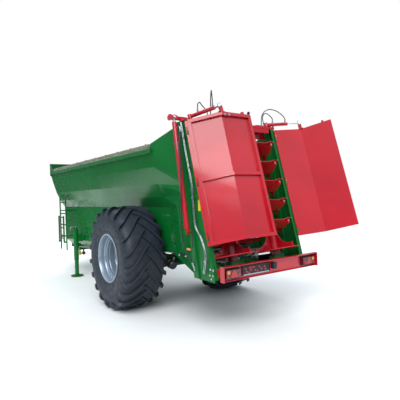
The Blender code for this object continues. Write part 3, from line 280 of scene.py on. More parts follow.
class Kit:
    """Solids of one material that ride together as one piece."""

    def __init__(self, name, body, look, place=Matrix()):
        self.name, self.body, self.look = name, body, look
        self.place = PLACE @ place
        self.verts, self.faces = [], []

    def add(self, verts, faces, place=Matrix()):
        start = len(self.verts)
        whole = self.place @ place
        self.verts += [whole @ Vector(v) for v in verts]
        self.faces += [[i + start for i in face] for face in faces]
        return self

    def prism(self, outline, low, high, place=Matrix()):
        count = len(outline)
        verts = [(x, y, z) for z in (low, high) for x, y in outline]
        faces = [list(range(count)), list(range(count, 2 * count))]
        faces += [[i, (i + 1) % count, (i + 1) % count + count, i + count] for i in range(count)]
        return self.add(verts, faces, place)

    def box(self, low, high, place=Matrix()):
        low, high = [min(a, b) for a, b in zip(low, high)], [max(a, b) for a, b in zip(low, high)]
        outline = [(low[0], low[1]), (high[0], low[1]), (high[0], high[1]), (low[0], high[1])]
        return self.prism(outline, low[2], high[2], place)

    def rings(self, rings, closed=False):
        """Skins a list of equal rings, with flat ends unless the rings close on themselves."""
        size = len(rings[0])
        count = len(rings)
        verts = [v for ring in rings for v in ring]
        faces = []
        for i in range(count if closed else count - 1):
            a, b = i * size, (i + 1) % count * size
            faces += [[a + k, a + (k + 1) % size, b + (k + 1) % size, b + k] for k in range(size)]
        if not closed:
            faces += [list(range(size)), list(range(len(verts) - size, len(verts)))]
        return verts, faces

    def lathe(self, profile, place=Matrix(), sides=32, closed=False):
        """Turns (radius, height) about local Z; an open profile gets flat ends, a closed one is a ring."""
        rings = []
        for radius, height in profile:
            rings.append([(radius * math.cos(2 * math.pi * i / sides),
                           radius * math.sin(2 * math.pi * i / sides),
                           height) for i in range(sides)])
        return self.add(*self.rings(rings, closed), place)

    def rod(self, start, end, radius, sides=16, end_radius=None, place=Matrix()):
        start, end = Vector(start), Vector(end)
        way = Matrix.Translation(start) @ turn_to(end - start)
        last = radius if end_radius is None else end_radius
        return self.lathe([(radius, 0), (last, (end - start).length)], place @ way, sides)

    def tube(self, points, radius, sides=12, place=Matrix()):
        points = [Vector(p) for p in points]
        rings, side = [], None
        for i, point in enumerate(points):
            ahead = points[min(i + 1, len(points) - 1)] - points[max(i - 1, 0)]
            ahead.normalize()
            if side is None:
                side = ahead.orthogonal().normalized()
            side = (side - ahead * side.dot(ahead)).normalized()
            other = ahead.cross(side)
            rings.append([point + side * math.cos(2 * math.pi * k / sides) * radius
                          + other * math.sin(2 * math.pi * k / sides) * radius for k in range(sides)])
        return self.add(*self.rings(rings), place)

    def bolt(self, point, normal, size=0.011, place=Matrix()):
        """Hexagon head on a washer."""
        way = place @ Matrix.Translation(Vector(point)) @ turn_to(normal)
        self.lathe([(size * 1.7, -0.001), (size * 1.7, size * 0.22), (size * 1.5, size * 0.3)], way, 16)
        head = [(size, size * 0.25), (size, size * 1.0), (size * 0.82, size * 1.2)]
        return self.lathe(head, way, 6)

    def done(self, bevel=0.0, angle=32, replaces=(), ride=True):
        mesh = bpy.data.meshes.new(self.name)
        mesh.from_pydata([tuple(v) for v in self.verts], [], self.faces)
        work = bmesh.new()
        work.from_mesh(mesh)
        bmesh.ops.recalc_face_normals(work, faces=work.faces)
        work.to_mesh(mesh)
        work.free()
        mesh.shade_smooth()
        mesh.set_sharp_from_angle(angle=math.radians(angle))
        mesh.materials.append(MATERIALS[self.look])
        obj = bpy.data.objects.new(self.name, mesh)
        bpy.context.scene.collection.objects.link(obj)
        if bevel:
            round_edges(obj, bevel)
        if ride:
            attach(obj, self.body)
        if replaces:
            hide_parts(*replaces)
        return obj


def round_edges(obj, width, segments=2):
    mod = obj.modifiers.new("edges", "BEVEL")
    mod.width = width
    mod.segments = segments
    mod.limit_method = "ANGLE"
    mod.angle_limit = math.radians(32)
    mod.harden_normals = True


# ---------------------------------------------------------------- CAD nodes that stay
NODE_LOOKS = {
    "axle_beam": ("black", 0.003), "beater_drive": ("green_dark", 0.004), "chain_shaft_front": ("chain",
            0.001),
    "chain_shaft_rear": ("chain", 0.001), "chassis": ("green_dark", 0.003), "door_cylinder_left": ("red", 0),
    "door_cylinder_right": ("red", 0), "door_left": ("red", 0.003), "door_right": ("red", 0.003),
    "door_rod_left": ("chrome", 0), "door_rod_right": ("chrome", 0), "drawbar": ("green_dark", 0.004),
    "drive_shaft": ("steel", 0), "floor": ("chain", 0.001), "front_wall": ("green", 0.002), "gate": ("red",
            0.002),
    "gate_cylinder_left": ("red", 0), "gate_cylinder_right": ("red", 0), "gate_rod_left": ("chrome", 0),
    "gate_rod_right": ("chrome", 0), "hopper_left": ("green", 0), "hopper_right": ("green", 0),
    "input_gearbox": ("green_dark", 0.006), "jack_leg": ("green", 0), "jack_tube": ("green", 0),
    "lamp_left": ("lens_dark", 0.006), "lamp_right": ("lens_dark", 0.006), "light_bar": ("red", 0.0015),
    "plank_left": ("wood", 0.004), "plank_right": ("wood", 0.004), "rear_frame_left": ("green", 0.002),
    "rear_frame_right": ("green", 0.002), "scraper_chain": ("chain", 0.001), "side_bracket": ("green", 0),
    "top_beam": ("red", 0.003), "towing_eye": ("steel", 0.002), "beater_disc_left": ("red", 0.002),
    "beater_disc_right": ("red", 0.002),
}


def dress_nodes():
    for name, (look, bevel) in NODE_LOOKS.items():
        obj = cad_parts[name]
        obj.data.materials.clear()
        obj.data.materials.append(MATERIALS[look])
        if bevel:
            weld = obj.modifiers.new("weld", "WELD")
            weld.merge_threshold = 0.00001
            round_edges(obj, bevel)


# ---------------------------------------------------------------- wheels
def wheel(side, name):
    body = "wheel_" + name
    turn = Matrix((Vector((0, side, 0)), Vector((0, 0, 1)), Vector((side, 0, 0)))).transposed().to_4x4()
    place = Matrix.Translation((side * TRACK_HALF, 0, TYRE_RADIUS)) @ turn     # local z points outwards
    tyre = Kit("tyre_tread_" + name, body, "tyre", place)
    half = [(0.416, 0.330), (0.440, 0.350), (0.470, 0.352), (0.478, 0.358), (0.492, 0.358), (0.500, 0.353),
            (0.560, 0.366), (0.620, 0.375), (0.690, 0.378), (0.750, 0.370), (0.800, 0.348), (0.838, 0.312),
            (0.858, 0.260), (0.868, 0.180), (0.872, 0.080)]
    inner = [(0.700, 0.330), (0.540, 0.320), (0.430, 0.300)]
    profile = half + [(r, -h) for r, h in reversed(half)]
    profile += [(r, -h) for r, h in reversed(inner)] + inner
    tyre.lathe(profile, Matrix(), 132, True)
    # station: axial place, top radius, width of the lug's top, share of the sweep, root radius and root inset
    stations = [(-0.035, 0.9185, 0.030, 0.00, 0.86, 0.0), (0.020, 0.9200, 0.032, 0.12, 0.86, 0.0),
                (0.090, 0.9200, 0.034, 0.31, 0.86, 0.0), (0.170, 0.9185, 0.038, 0.55, 0.855, 0.0),
                (0.240, 0.9140, 0.043, 0.76, 0.845, 0.005), (0.300, 0.9060, 0.052, 0.90, 0.82, 0.02),
                (0.345, 0.8920, 0.062, 0.97, 0.79, 0.04), (0.370, 0.8620, 0.068, 1.00, 0.77, 0.05),
                (0.379, 0.8150, 0.066, 1.01, 0.75, 0.04), (0.379, 0.7650, 0.050, 1.01, 0.73, 0.03)]
    for flip in (1, -1):
        for i in range(LUG_COUNT):
            start = 2 * math.pi * (i + (0.5 if flip < 0 else 0.0)) / LUG_COUNT
            rings = []
            for h, top, width, share, root, inset in stations:
                middle = start - LUG_SWEEP * share
                ring = []
                for radius, spread, axial in ((root, 0.62, h - inset), (top, 0.5, h), (top, -0.5, h),
                                              (root, -0.62, h - inset)):
                    angle = middle + spread * width / radius
                    angle *= side
                    ring.append((radius * math.cos(angle), radius * math.sin(angle), flip * axial))
                rings.append(ring)
            tyre.add(*tyre.rings(rings))
    tyre.done(bevel=0.006, angle=40, replaces=["tyre_" + name])

    rim = Kit("rim_dish_" + name, body, "rim", place)
    face = [(0.414, 0.352), (0.428, 0.354), (0.4355, 0.348), (0.4355, 0.340), (0.424, 0.330), (0.412, 0.318),
            (0.412, 0.250), (0.404, 0.236), (0.366, 0.205), (0.362, 0.180)]
    dish = [(0.362, -0.19), (0.404, -0.225), (0.412, -0.25), (0.412, -0.318), (0.424, -0.330), (0.4355,
            -0.340),
            (0.4355, -0.348), (0.428, -0.354), (0.414, -0.352), (0.402, -0.338), (0.400, -0.262), (0.350,
                    -0.226),
            (0.300, -0.217), (0.130, -0.217)]
    bowl = [(0.130, -0.199), (0.205, -0.199), (0.218, -0.190), (0.262, -0.190), (0.290, -0.170), (0.318,
            -0.120),
            (0.326, -0.080), (0.338, -0.068), (0.340, 0.030), (0.343, 0.050), (0.356, 0.062), (0.358, 0.150),
            (0.361, 0.168), (0.378, 0.184), (0.381, 0.225), (0.385, 0.240), (0.399, 0.254), (0.401, 0.330)]
    rim.lathe(face + dish + bowl, Matrix(), 120, True)
    rim.tube([(0.325, 0, 0.02), (0.335, 0, 0.06), (0.33, 0, 0.10)], 0.006, 8)
    rim.done(bevel=0, angle=40, replaces=["rim_" + name])

    hub = Kit("hub_cover_" + name, body, "green", place)
    hub.lathe([(0.060, -0.325), (0.128, -0.325), (0.128, -0.22), (0.128, -0.1995), (0.185, -0.1995), (0.188,
            -0.196),
               (0.188, -0.182), (0.184, -0.178), (0.118, -0.176), (0.104, -0.168), (0.100, -0.090), (0.094,
                       -0.074),
               (0.076, -0.066), (0.060, -0.066)], Matrix(), 64, True)
    hub.done(bevel=0, angle=40, replaces=["hub_" + name])
    nuts = Kit("wheel_nuts_" + name, body, "zinc", place)
    for i in range(NUT_COUNT):
        angle = 2 * math.pi * i / NUT_COUNT
        across, along = NUT_CIRCLE * math.cos(angle), NUT_CIRCLE * math.sin(angle)
        nuts.bolt((across, along, -0.178), (0, 0, 1), 0.015)
        nuts.rod((across, along, -0.18), (across, along, -0.148), 0.008, 10)
    nuts.done(bevel=0.001)
    cap = Kit("hub_cap_" + name, body, "zinc", place)
    cap.lathe([(0.0615, -0.070), (0.066, -0.062), (0.060, -0.048), (0.030, -0.038), (0.001, -0.036)],
              Matrix(), 32)
    cap.done()


# ---------------------------------------------------------------- hopper
def hopper_details():
    bolts = Kit("rail_bolts", ROOT, "trim")
    for side, _ in SIDES:
        for i in range(RAIL_BOLTS):
            y = RAIL_BOLT_START + RAIL_BOLT_PITCH * i
            bolts.bolt((side * (RAIL_X + 0.0302), y, RAIL_Z + 0.032), (side, 0, 0), 0.010)
            bolts.bolt((side * (RAIL_X + 0.008), y, RAIL_Z + 0.1353), (0, 0, 1), 0.012)
    bolts.done()


# ---------------------------------------------------------------- rear doors
def door_place(side, opened):
    return (REAR @ Matrix.Translation((side * FRAME_X, HINGE_BACK, 0)) @ Matrix.Rotation(-side * opened, 4,
            "Z")
            @ Matrix.Scale(-side, 4, (1, 0, 0)))


def door_details(side, name, opened):
    """Local x runs inboard from the hinge, y rearward, z up along the lean."""
    place = door_place(side, opened)
    body = "door_leaf_" + name
    top = DOOR_LOW + DOOR_HEIGHT
    zinc = Kit("door_bolts_" + name, body, "zinc", place)
    for x in (FOLD_X + 0.035, FOLD_X + 0.115):
        zinc.bolt((x, FOLD_Y + 0.045, top - 0.045), (0, 1, 0), 0.011)
    pin_z = CYL_PLANE + 0.030
    zinc.lathe([(0.013, 0), (0.013, 0.066), (0.020, 0.067), (0.020, 0.076), (0.010, 0.078)],
               Matrix.Translation((FOLD_X, FOLD_Y, CYL_PLANE - 0.032)), 16)
    zinc.bolt((FOLD_X, FOLD_Y, pin_z + 0.012), (0, 0, 1), 0.009)
    zinc.done(bevel=0.001)
    red = Kit("door_brackets_" + name, body, "red", place)
    red.box((FOLD_X - 0.055, FOLD_Y - 0.02, top - 0.004), (FOLD_X + 0.055, FOLD_Y + 0.045, top + 0.008))
    red.prism([(-0.03, 0), (0.03, 0), (0.022, 0.10), (-0.022, 0.10)], -0.004, 0.004,
              Matrix.Translation((FOLD_X, FOLD_Y + 0.036, top)) @ Matrix.Rotation(math.radians(90), 4, "X"))
    red.box((0.76, FOLD_Y + 0.01, top), (0.80, FOLD_Y + 0.045, top + 0.035))
    slant = Matrix.Rotation(math.atan2(FOLD_Y, FOLD_X), 4, "Z")
    red.box((-0.020, -0.004, DOOR_LOW), (0.036, 0.002, top), slant)
    red.box((0.905, FOLD_Y + 0.003, top - 0.11), (0.925, FOLD_Y + 0.03, top - 0.06))
    red.done(bevel=0.0015)
    if side > 0:
        stop = Kit("door_buffer", body, "trim", place)
        stop.box((0.90, FOLD_Y + 0.012, top + 0.004), (0.916, FOLD_Y + 0.04, top + 0.05))
        stop.rod((0.905, FOLD_Y + 0.026, top + 0.035), (0.9248, FOLD_Y + 0.026, top + 0.035), 0.024, 20)
        stop.done(bevel=0.002)


# free hoses: name, side, door opened by, end along the barrel, and the route from the crossbeam as
# (x, distance behind the start, height over the beam)
DOOR_HOSES = (
    ("left_base", 1, 0.0, 0.14, ((0.46, 0, 0), (0.46, 0, 0.08), (0.475, 0.004, 0.15), (0.53, 0.022, 0.195),
                                 (0.60, 0.052, 0.225), (0.665, 0.087, 0.255), (0.715, 0.109, 0.225))),
    ("left_rod", 1, 0.0, 0.39, ((0.40, 0, 0), (0.40, 0, 0.10), (0.40, 0.007, 0.26), (0.42, 0.047, 0.39),
                                (0.47, 0.127, 0.45), (0.54, 0.227, 0.41), (0.585, 0.297, 0.31))),
    ("right_base", -1, DOOR_OPEN, 0.14, ((-0.75, 0, 0), (-0.75, 0, 0.06), (-0.73, 0.003, 0.15),
                                         (-0.755, 0.010, 0.225), (-0.83, 0.020, 0.235),
                                         (-0.905, 0.032, 0.185))),
    ("right_rod", -1, DOOR_OPEN, 0.39, ((-0.70, 0, 0), (-0.70, 0, 0.08), (-0.71, 0.002, 0.18),
                                        (-0.77, 0.010, 0.27), (-0.88, 0.037, 0.315), (-1.02, 0.067, 0.29),
                                        (-1.13, 0.097, 0.22))),
)


def door_hose_run(side, opened, share, route):
    """The hose's whole route in machine coordinates, as the solids have it."""
    beam_top = FRAME_TOP + 0.0003 + 0.035 + 0.0009
    y_beam = rear_y(FRAME_TOP) - HOSE_BACK
    x = FOLD_X * math.cos(opened) - FOLD_Y * math.sin(opened)
    y = FOLD_X * math.sin(opened) + FOLD_Y * math.cos(opened)
    eye = Vector((side * (FRAME_X - x), HINGE_BACK + y, CYL_PLANE))
    base = Vector((side * CYL_BASE[0], CYL_BASE[1], CYL_PLANE))
    end = REAR @ (base + (eye - base).normalized() * share + Vector((0, 0, CYL_RADIUS + 0.004)))
    run = [(px, y_beam + back, beam_top + height) for px, back, height in route]
    return smooth_run(run + [end + Vector((0, 0, 0.06)), end], 5)


def door_hoses():
    for name, side, opened, share, route in DOOR_HOSES:
        run = door_hose_run(side, opened, share, route)
        body = "door_barrel_" + name.split("_")[0]
        tube = Kit("free_hose_" + name, ROOT, "hose")
        tube.tube(run, HOSE_RADIUS, 14)
        obj = tube.done(ride=False)
        for label, tip, behind, rider in (("start", run[0], run[3], ROOT), ("end", run[-1], run[-4], body)):
            way = Matrix.Translation(tip) @ turn_to(behind - tip)
            fit = Kit("hose_%s_%s" % (name, label), rider, "zinc")
            fit.lathe([(0.0125, -0.004), (0.0145, -0.002), (0.0145, 0.020), (0.0125, 0.022), (0.0120, 0.052),
                       (0.0085, 0.056)], way, 12)
            fit.done(bevel=0)
        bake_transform(obj)
        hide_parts("hose_" + name)


# ---------------------------------------------------------------- beaters
def beater(side, name):
    """Core tube, a spiral flight scalloped between its knives, and star-shaped cutters on its rim."""
    body = "beater_assembly_" + name
    place = REAR @ Matrix.Translation((side * BEATER_X, BEATER_BACK, 0))
    red = Kit("beater_flight_" + name, body, "red", place)
    red.lathe([(BEATER_CORE, BEATER_LOW + 0.020), (BEATER_CORE, BEATER_TOP), (BEATER_CORE - 0.01,
            BEATER_TOP + 0.006)],
              Matrix(), 48)
    turns = (BEATER_TOP - 0.06 - FLIGHT_START) / BEATER_PITCH
    per_turn, knife_count = 72, 4
    steps = int(turns * per_turn)
    knife_at = math.radians(164)
    rings = []
    for i in range(steps + 1):
        turn = FLIGHT_PHASE + 2 * math.pi * turns * i / steps
        z = FLIGHT_START + BEATER_PITCH * turns * i / steps
        c, s = math.cos(turn), math.sin(turn) * side
        beyond = abs(math.sin((turn - knife_at) * knife_count / 2))
        reach = 0.375 - 0.075 * beyond ** 0.8
        lift = 0.045 * (1 - beyond) ** 3
        rings.append([(r * c, r * s, z + dz) for r, dz in
                      ((BEATER_CORE - 0.01, 0.001), (0.28, 0.001), (reach, 0.001 + lift), (reach,
                              0.009 + lift),
                       (0.28, 0.009), (BEATER_CORE - 0.01, 0.009))])
    red.add(*red.rings(rings))
    red.done(bevel=0, angle=30, replaces=["beater_" + name])
    knives = Kit("beater_knives_" + name, body, "red", place)
    heads = Kit("knife_bolts_" + name, body, "zinc", place)
    star = []
    for k in range(14):
        reach = 0.044 if k % 2 == 0 else 0.027
        star.append((reach * math.cos(math.pi * k / 7), reach * math.sin(math.pi * k / 7)))
    first = math.ceil((FLIGHT_PHASE - knife_at) / (2 * math.pi / knife_count))
    number = 0
    while True:
        turn = knife_at + 2 * math.pi / knife_count * (first + number)
        z = FLIGHT_START + BEATER_PITCH * (turn - FLIGHT_PHASE) / (2 * math.pi)
        number += 1
        if z > BEATER_TOP - 0.08:
            break
        spot = Matrix.Rotation(side * turn, 4, "Z")
        blade = spot @ Matrix.Translation((0.335, 0, z + 0.03))
        outline = [(-0.07, -0.024), (-0.012, -0.036), (0.028, -0.030), (0.060, -0.052), (0.064, -0.040),
                   (0.044, -0.004), (0.052, 0.030), (0.020, 0.034), (-0.06, 0.022)]
        knives.prism([(x, side * y) for x, y in outline], 0, 0.008, blade)
        across = (spot @ Matrix.Translation((0.352, 0, z - 0.006)) @ Matrix.Rotation(math.radians(90), 4,
                "Y"))
        knives.prism(star, -0.005, 0.005, across)
        knives.box((0.300, -0.012, z - 0.012), (0.350, 0.012, z + 0.004), spot)
        heads.bolt((0, 0, 0.005), (0, 0, 1), 0.009, across)
    knives.done(bevel=0.001)
    heads.done()


# ---------------------------------------------------------------- lights
def light_details():
    y0, z0 = LIGHT_Y, LIGHT_Z
    bezel = Kit("lamp_bezels", ROOT, "trim")
    red = Kit("lamp_reflectors", ROOT, "lens")
    amber = Kit("lamp_indicators", ROOT, "amber")
    face = y0 + 0.0615
    for side, _ in SIDES:
        lo, hi = side * 0.625, side * 0.915
        bezel.box((lo, y0 + 0.007, z0 + 0.030), (hi, y0 + 0.030, z0 + 0.170))
        outer = side * 0.86
        amber.rod((outer, face - 0.004, z0 + 0.124), (outer, face + 0.008, z0 + 0.124), 0.026, 24)
        red.rod((outer + side * 0.015, face - 0.004, z0 + 0.066), (outer + side * 0.015, face + 0.006,
                                                                   z0 + 0.066), 0.017, 24)
        red.rod((side * 0.675, face - 0.004, z0 + 0.080), (side * 0.675, face + 0.006, z0 + 0.080), 0.019, 24)
        corner = [(-0.075, -0.048), (0.075, -0.048), (0.0, 0.062)]
        way = Matrix.Translation((side * 0.765, face, z0 + 0.100)) @ Matrix.Rotation(math.radians(90), 4, "X")
        red.prism(corner, -0.007, 0.003, way)
    bezel.done(bevel=0.003)
    red.done(bevel=0.002)
    amber.done(bevel=0.002)
    plate = Kit("plate_frame", ROOT, "trim")
    plate.box((0.06, y0 + 0.008, z0 + 0.040), (0.58, y0 + 0.020, z0 + 0.165))
    plate.box((0.055, y0 + 0.008, z0 + 0.161), (0.585, y0 + 0.028, z0 + 0.170))
    plate.box((0.055, y0 + 0.008, z0 + 0.040), (0.063, y0 + 0.028, z0 + 0.170))
    plate.box((0.577, y0 + 0.008, z0 + 0.040), (0.585, y0 + 0.028, z0 + 0.170))
    lamp = [(-0.06, 0.0), (0.0, 0.0), (0.0, 0.055), (-0.02, 0.075), (-0.06, 0.070)]
    plate.prism(lamp, -0.045, 0.045, Matrix.Translation((0.018, y0 + 0.006, z0 + 0.115)))
    plate.done(bevel=0.002, replaces=["plate_holder"])
    holes = Kit("plate_dots", ROOT, "red")
    spots = [(0.52, 0.125), (0.44, 0.13), (0.40, 0.135), (0.26, 0.13), (0.50, 0.085), (0.42, 0.10), (0.34,
            0.09),
             (0.46, 0.068), (0.30, 0.075), (0.22, 0.095), (0.36, 0.135), (0.16, 0.12), (0.14, 0.08)]
    for x, z in spots:
        holes.rod((x, y0 + 0.018, z0 + z), (x, y0 + 0.0212, z0 + z), 0.014, 20)
    holes.done()
    strip = Kit("plate_strip", ROOT, "zinc")
    strip.box((0.07, y0 + 0.018, z0 + 0.036), (0.57, y0 + 0.026, z0 + 0.054))
    strip.done(bevel=0.002)


# ---------------------------------------------------------------- side frames
def side_details():
    """Pipes, hoses, bolts, reflector and blank stickers on the left rear frame."""
    pipes = Kit("side_frame_pipes", ROOT, "zinc")
    bolts = Kit("side_frame_bolts", ROOT, "zinc")
    x = FRAME_X + 0.036
    route = [(x, 1.745, 3.095), (x, 1.775, 2.98), (x, 1.850, 2.647), (x, 1.979, 2.177), (x, 2.005, 1.90),
             (x, 2.05, 1.545), (x, 2.18, 1.38), (x, 2.275, 1.149), (x, 2.229, 0.901)]
    runs = []
    for shift in (0.0, 0.026):
        runs.append(smooth_run([(a, b + shift, c - shift * 0.3) for a, b, c in route], 8))
        pipes.tube(runs[-1], 0.0065, 12)
    for z in (2.85, 2.40, 1.95, 1.62, 1.05):
        spot = min(runs[0], key=lambda p: abs(p.z - z))
        pipes.box((FRAME_X, spot.y - 0.014, z - 0.010), (x + 0.009, spot.y + 0.040, z + 0.010))
        bolts.bolt((x + 0.009, spot.y + 0.013, z), (1, 0, 0), 0.005)
    for run in runs:
        for k in (26, -2):
            pipes.rod(run[k], run[k] + (run[k] - run[k - 1]).normalized() * 0.05, 0.011, 6)
    pipes.done(bevel=0)
    for y, z in ((2.410, 0.940), (2.400, 0.863), (2.365, 0.815), (2.345, 0.945), (2.33, 0.862)):
        bolts.bolt((FRAME_X, y, z), (1, 0, 0), 0.010)
    bolts.done()

    hose = Kit("side_frame_hose", ROOT, "hose")
    route = [(0.974, 1.752, 2.96), (1.00, 1.775, 2.88), (1.050, 1.82, 2.74), (1.074, 1.862, 2.58), (1.076,
            1.892, 2.15),
             (1.076, 1.869, 1.851), (1.076, 1.857, 1.551), (1.072, 1.866, 1.33), (1.035, 1.93, 1.13),
             (0.978, 1.985, 0.985)]
    hose.tube(smooth_run(route, 8), 0.011, 16)
    short = [(0.974, 1.985, 1.50), (0.976, 1.990, 1.44), (0.976, 1.978, 1.36), (0.976, 1.985, 1.28),
             (0.974, 1.975, 1.23)]
    hose.tube(smooth_run(short, 6), 0.007, 12)
    hose.done(replaces=["gate_hose"])
    fit = Kit("side_hose_fittings", ROOT, "zinc")
    fit.tube(smooth_run([(0.962, 1.690, 3.035), (0.968, 1.712, 3.035), (0.974, 1.742, 3.01), (0.976, 1.755,
            2.95)], 6),
             0.014, 12)
    fit.rod((0.985, 1.978, 1.005), (0.968, 2.02, 0.905), 0.014, 12)
    fit.box((0.930, 2.005, 0.895), (0.980, 2.035, 0.925))
    fit.done(bevel=0.001)

    sticker = Kit("side_sticker", ROOT, "yellow")
    sticker.box((FRAME_X, 2.095, 1.76), (FRAME_X + 0.0012, 2.155, 1.92))
    sticker.box((WALL_X, -4.262, 1.28), (WALL_X + 0.0012, -4.222, 1.66))
    sticker.done()
    orange = Kit("side_reflector", ROOT, "amber")
    orange.box((0.890, 1.745, 1.163), (0.925, 1.850, 1.198))
    orange.done(bevel=0.003)
    bar = Kit("side_stop_bar", ROOT, "black")
    bar.box((0.800, 1.472, 1.048), (0.905, 1.728, 1.080))
    bar.done(bevel=0.004)
    bolts = Kit("side_stop_bolt", ROOT, "zinc")
    for y in (1.50, 1.69):
        bolts.bolt((0.905, y, 1.064), (1, 0, 0), 0.012)
    for y in (0.895, 0.945):
        bolts.bolt((WALL_X, y - 0.06, 1.66), (1, 0, 0), 0.011)
    for y in (0.66, 0.74):
        bolts.bolt((WALL_X, y, 1.66), (1, 0, 0), 0.011)
    bolts.done()


def underside_details():
    """Brake cylinder behind the axle, couplings on the front of the chassis, and the jack's crank."""
    black = Kit("brake_cylinders", ROOT, "black")
    zinc = Kit("brake_fittings", ROOT, "zinc")
    for side, _ in SIDES:
        x = side * 0.60
        black.rod((x, 0.42, 0.88), (x, 0.70, 0.84), 0.030, 16)
        black.lathe([(0.03, 0), (0.060, 0.01), (0.082, 0.05), (0.088, 0.055), (0.088, 0.070), (0.080, 0.078),
                     (0.078, 0.150), (0.060, 0.170)],
                    Matrix.Translation((x, 0.66, 0.82)) @ turn_to((0, 0.94, -0.25)), 28)
        zinc.rod((x, 0.80, 0.86), (x, 0.84, 0.93), 0.012, 12)
        black.tube(smooth_run([(x, 0.84, 0.93), (x, 0.80, 0.965), (side * 0.56, 0.62, 0.95), (side * 0.52,
                0.40, 0.93)]),
                   0.010, 10)
    black.done(bevel=0)
    zinc.done()
    for look, x in (("yellow", 0.39), ("maroon", 0.28)):
        head = Kit("coupling_" + look, ROOT, look)
        at = Matrix.Translation((x, -4.76, 0.435)) @ turn_to((0.15, 1, -0.35))
        head.lathe([(0.020, -0.05), (0.030, -0.045), (0.048, -0.03), (0.050, 0.02), (0.040, 0.035), (0.020,
                0.05)], at, 24)
        head.rod((x, -4.77, 0.45), (x, -4.77, 0.70), 0.020, 16)
        head.done(bevel=0.002)
        hose = Kit("coupling_hose_" + look, ROOT, "hose")
        hose.tube(smooth_run([(x, -4.77, 0.69), (x, -4.76, 0.76), (x * 0.95, -4.66, 0.80), (x * 0.8, -4.52,
                0.82)], 6),
                  0.010, 12)
        hose.done()
    guard = Kit("drive_guard", ROOT, "black")
    guard.box((-0.50, 2.085, 0.90), (-0.22, 2.093, 0.995))
    guard.done(bevel=0.002)
    plate = Kit("coupling_bracket", ROOT, "black")
    plate.box((0.24, -4.80, 0.655), (0.56, -4.68, 0.668))
    plate.done(bevel=0.002)
    crank = Kit("jack_crank", ROOT, "zinc")
    crank.rod((0.86, -3.62, 1.255), (0.86, -3.62, 1.30), 0.012, 12)
    crank.tube([(0.86, -3.62, 1.292), (0.93, -3.62, 1.292), (0.99, -3.62, 1.272), (0.99, -3.62, 1.17)],
               0.008, 12)
    crank.done(bevel=0)
    hood = Kit("crossbeam_skirt", ROOT, "red")
    hood.prism([(1.672, 2.99), (1.680, 2.99), (1.680, 3.1095), (1.672, 3.1095)], -0.83, 0.83,
               Matrix(((0, 0, 1, 0), (1, 0, 0, 0), (0, 1, 0, 0), (0, 0, 0, 1))))
    for side, _ in SIDES:
        hood.box((side * 0.56, 1.672, 2.935), (side * 0.86, 1.680, 2.9895))
    hood.done(bevel=0.001)


def ladder_details():
    """Round handrails with hooked tops and ribbed rungs, and the lower part that folds."""
    x, y0, y1, foot = 0.95, -4.60, -4.10, 0.64
    step_x, hinge_z, length, inset = 1.005, 0.86, 0.70, 0.045
    rails = Kit("ladder_rails", ROOT, "green")
    for y, inwards in ((y0, 1), (y1, -1)):
        rails.tube(smooth_run([(x, y, foot), (x, y, 1.30), (x, y, 2.00), (x - 0.012, y, 2.065), (x - 0.05,
                y, 2.095),
                               (x - 0.085, y, 2.07), (x - 0.095, y, 2.02)], 5), 0.017, 16)
        for z in (0.98, 1.70):
            wall = WALL_X if z < 1.1 else WALL_X + 0.018
            rails.rod((wall, y, z), (x, y, z), 0.014, 16)
            rails.lathe([(0.034, 0), (0.034, 0.006), (0.030, 0.008)], Matrix.Translation((wall, y,
                    z)) @ turn_to((1, 0, 0)), 20)
        rails.box((x - 0.01, y - inwards * 0.010, hinge_z - 0.018),
                  (step_x + 0.018, y + inwards * (inset - 0.0125), hinge_z + 0.018))
    for z in (1.02, 1.32, 1.62, 1.92):
        rails.box((x - 0.020, y0, z - 0.012), (x + 0.012, y1, z + 0.012))
        for k in range(9):
            rails.rod((x - 0.004, y0 + 0.06 + 0.0475 * k, z + 0.011), (x - 0.004, y0 + 0.06 + 0.0475 * k,
                    z + 0.016), 0.007, 10)
    rails.done(bevel=0.002, replaces=["ladder"])
    step = Kit("ladder_fold", "folding_step", "green")
    for y in (y0 + inset, y1 - inset):
        step.box((step_x - 0.018, y - 0.012, hinge_z - 0.018), (step_x + 0.018, y + 0.012, hinge_z + length))
    for z in (0.10, 0.38, 0.66):
        step.box((step_x - 0.015, y0 + inset, hinge_z + z - 0.012), (step_x + 0.015, y1 - inset,
                                                                     hinge_z + z + 0.012))
        for k in range(7):
            at = y0 + inset + 0.06 + 0.0485 * k
            step.rod((step_x, at, hinge_z + z + 0.011), (step_x, at, hinge_z + z + 0.0155), 0.007, 10)
    step.done(bevel=0.002, replaces=["ladder_step"])
    pins = Kit("ladder_pins", "folding_step", "zinc")
    for y, way in ((y0, -1), (y1, 1)):
        pins.rod((step_x, y - way * 0.05, hinge_z), (step_x, y + way * 0.018, hinge_z), 0.007, 12)
    pins.done(bevel=0)


# ---------------------------------------------------------------- stage
FLOOR_RADIUS = 13.0


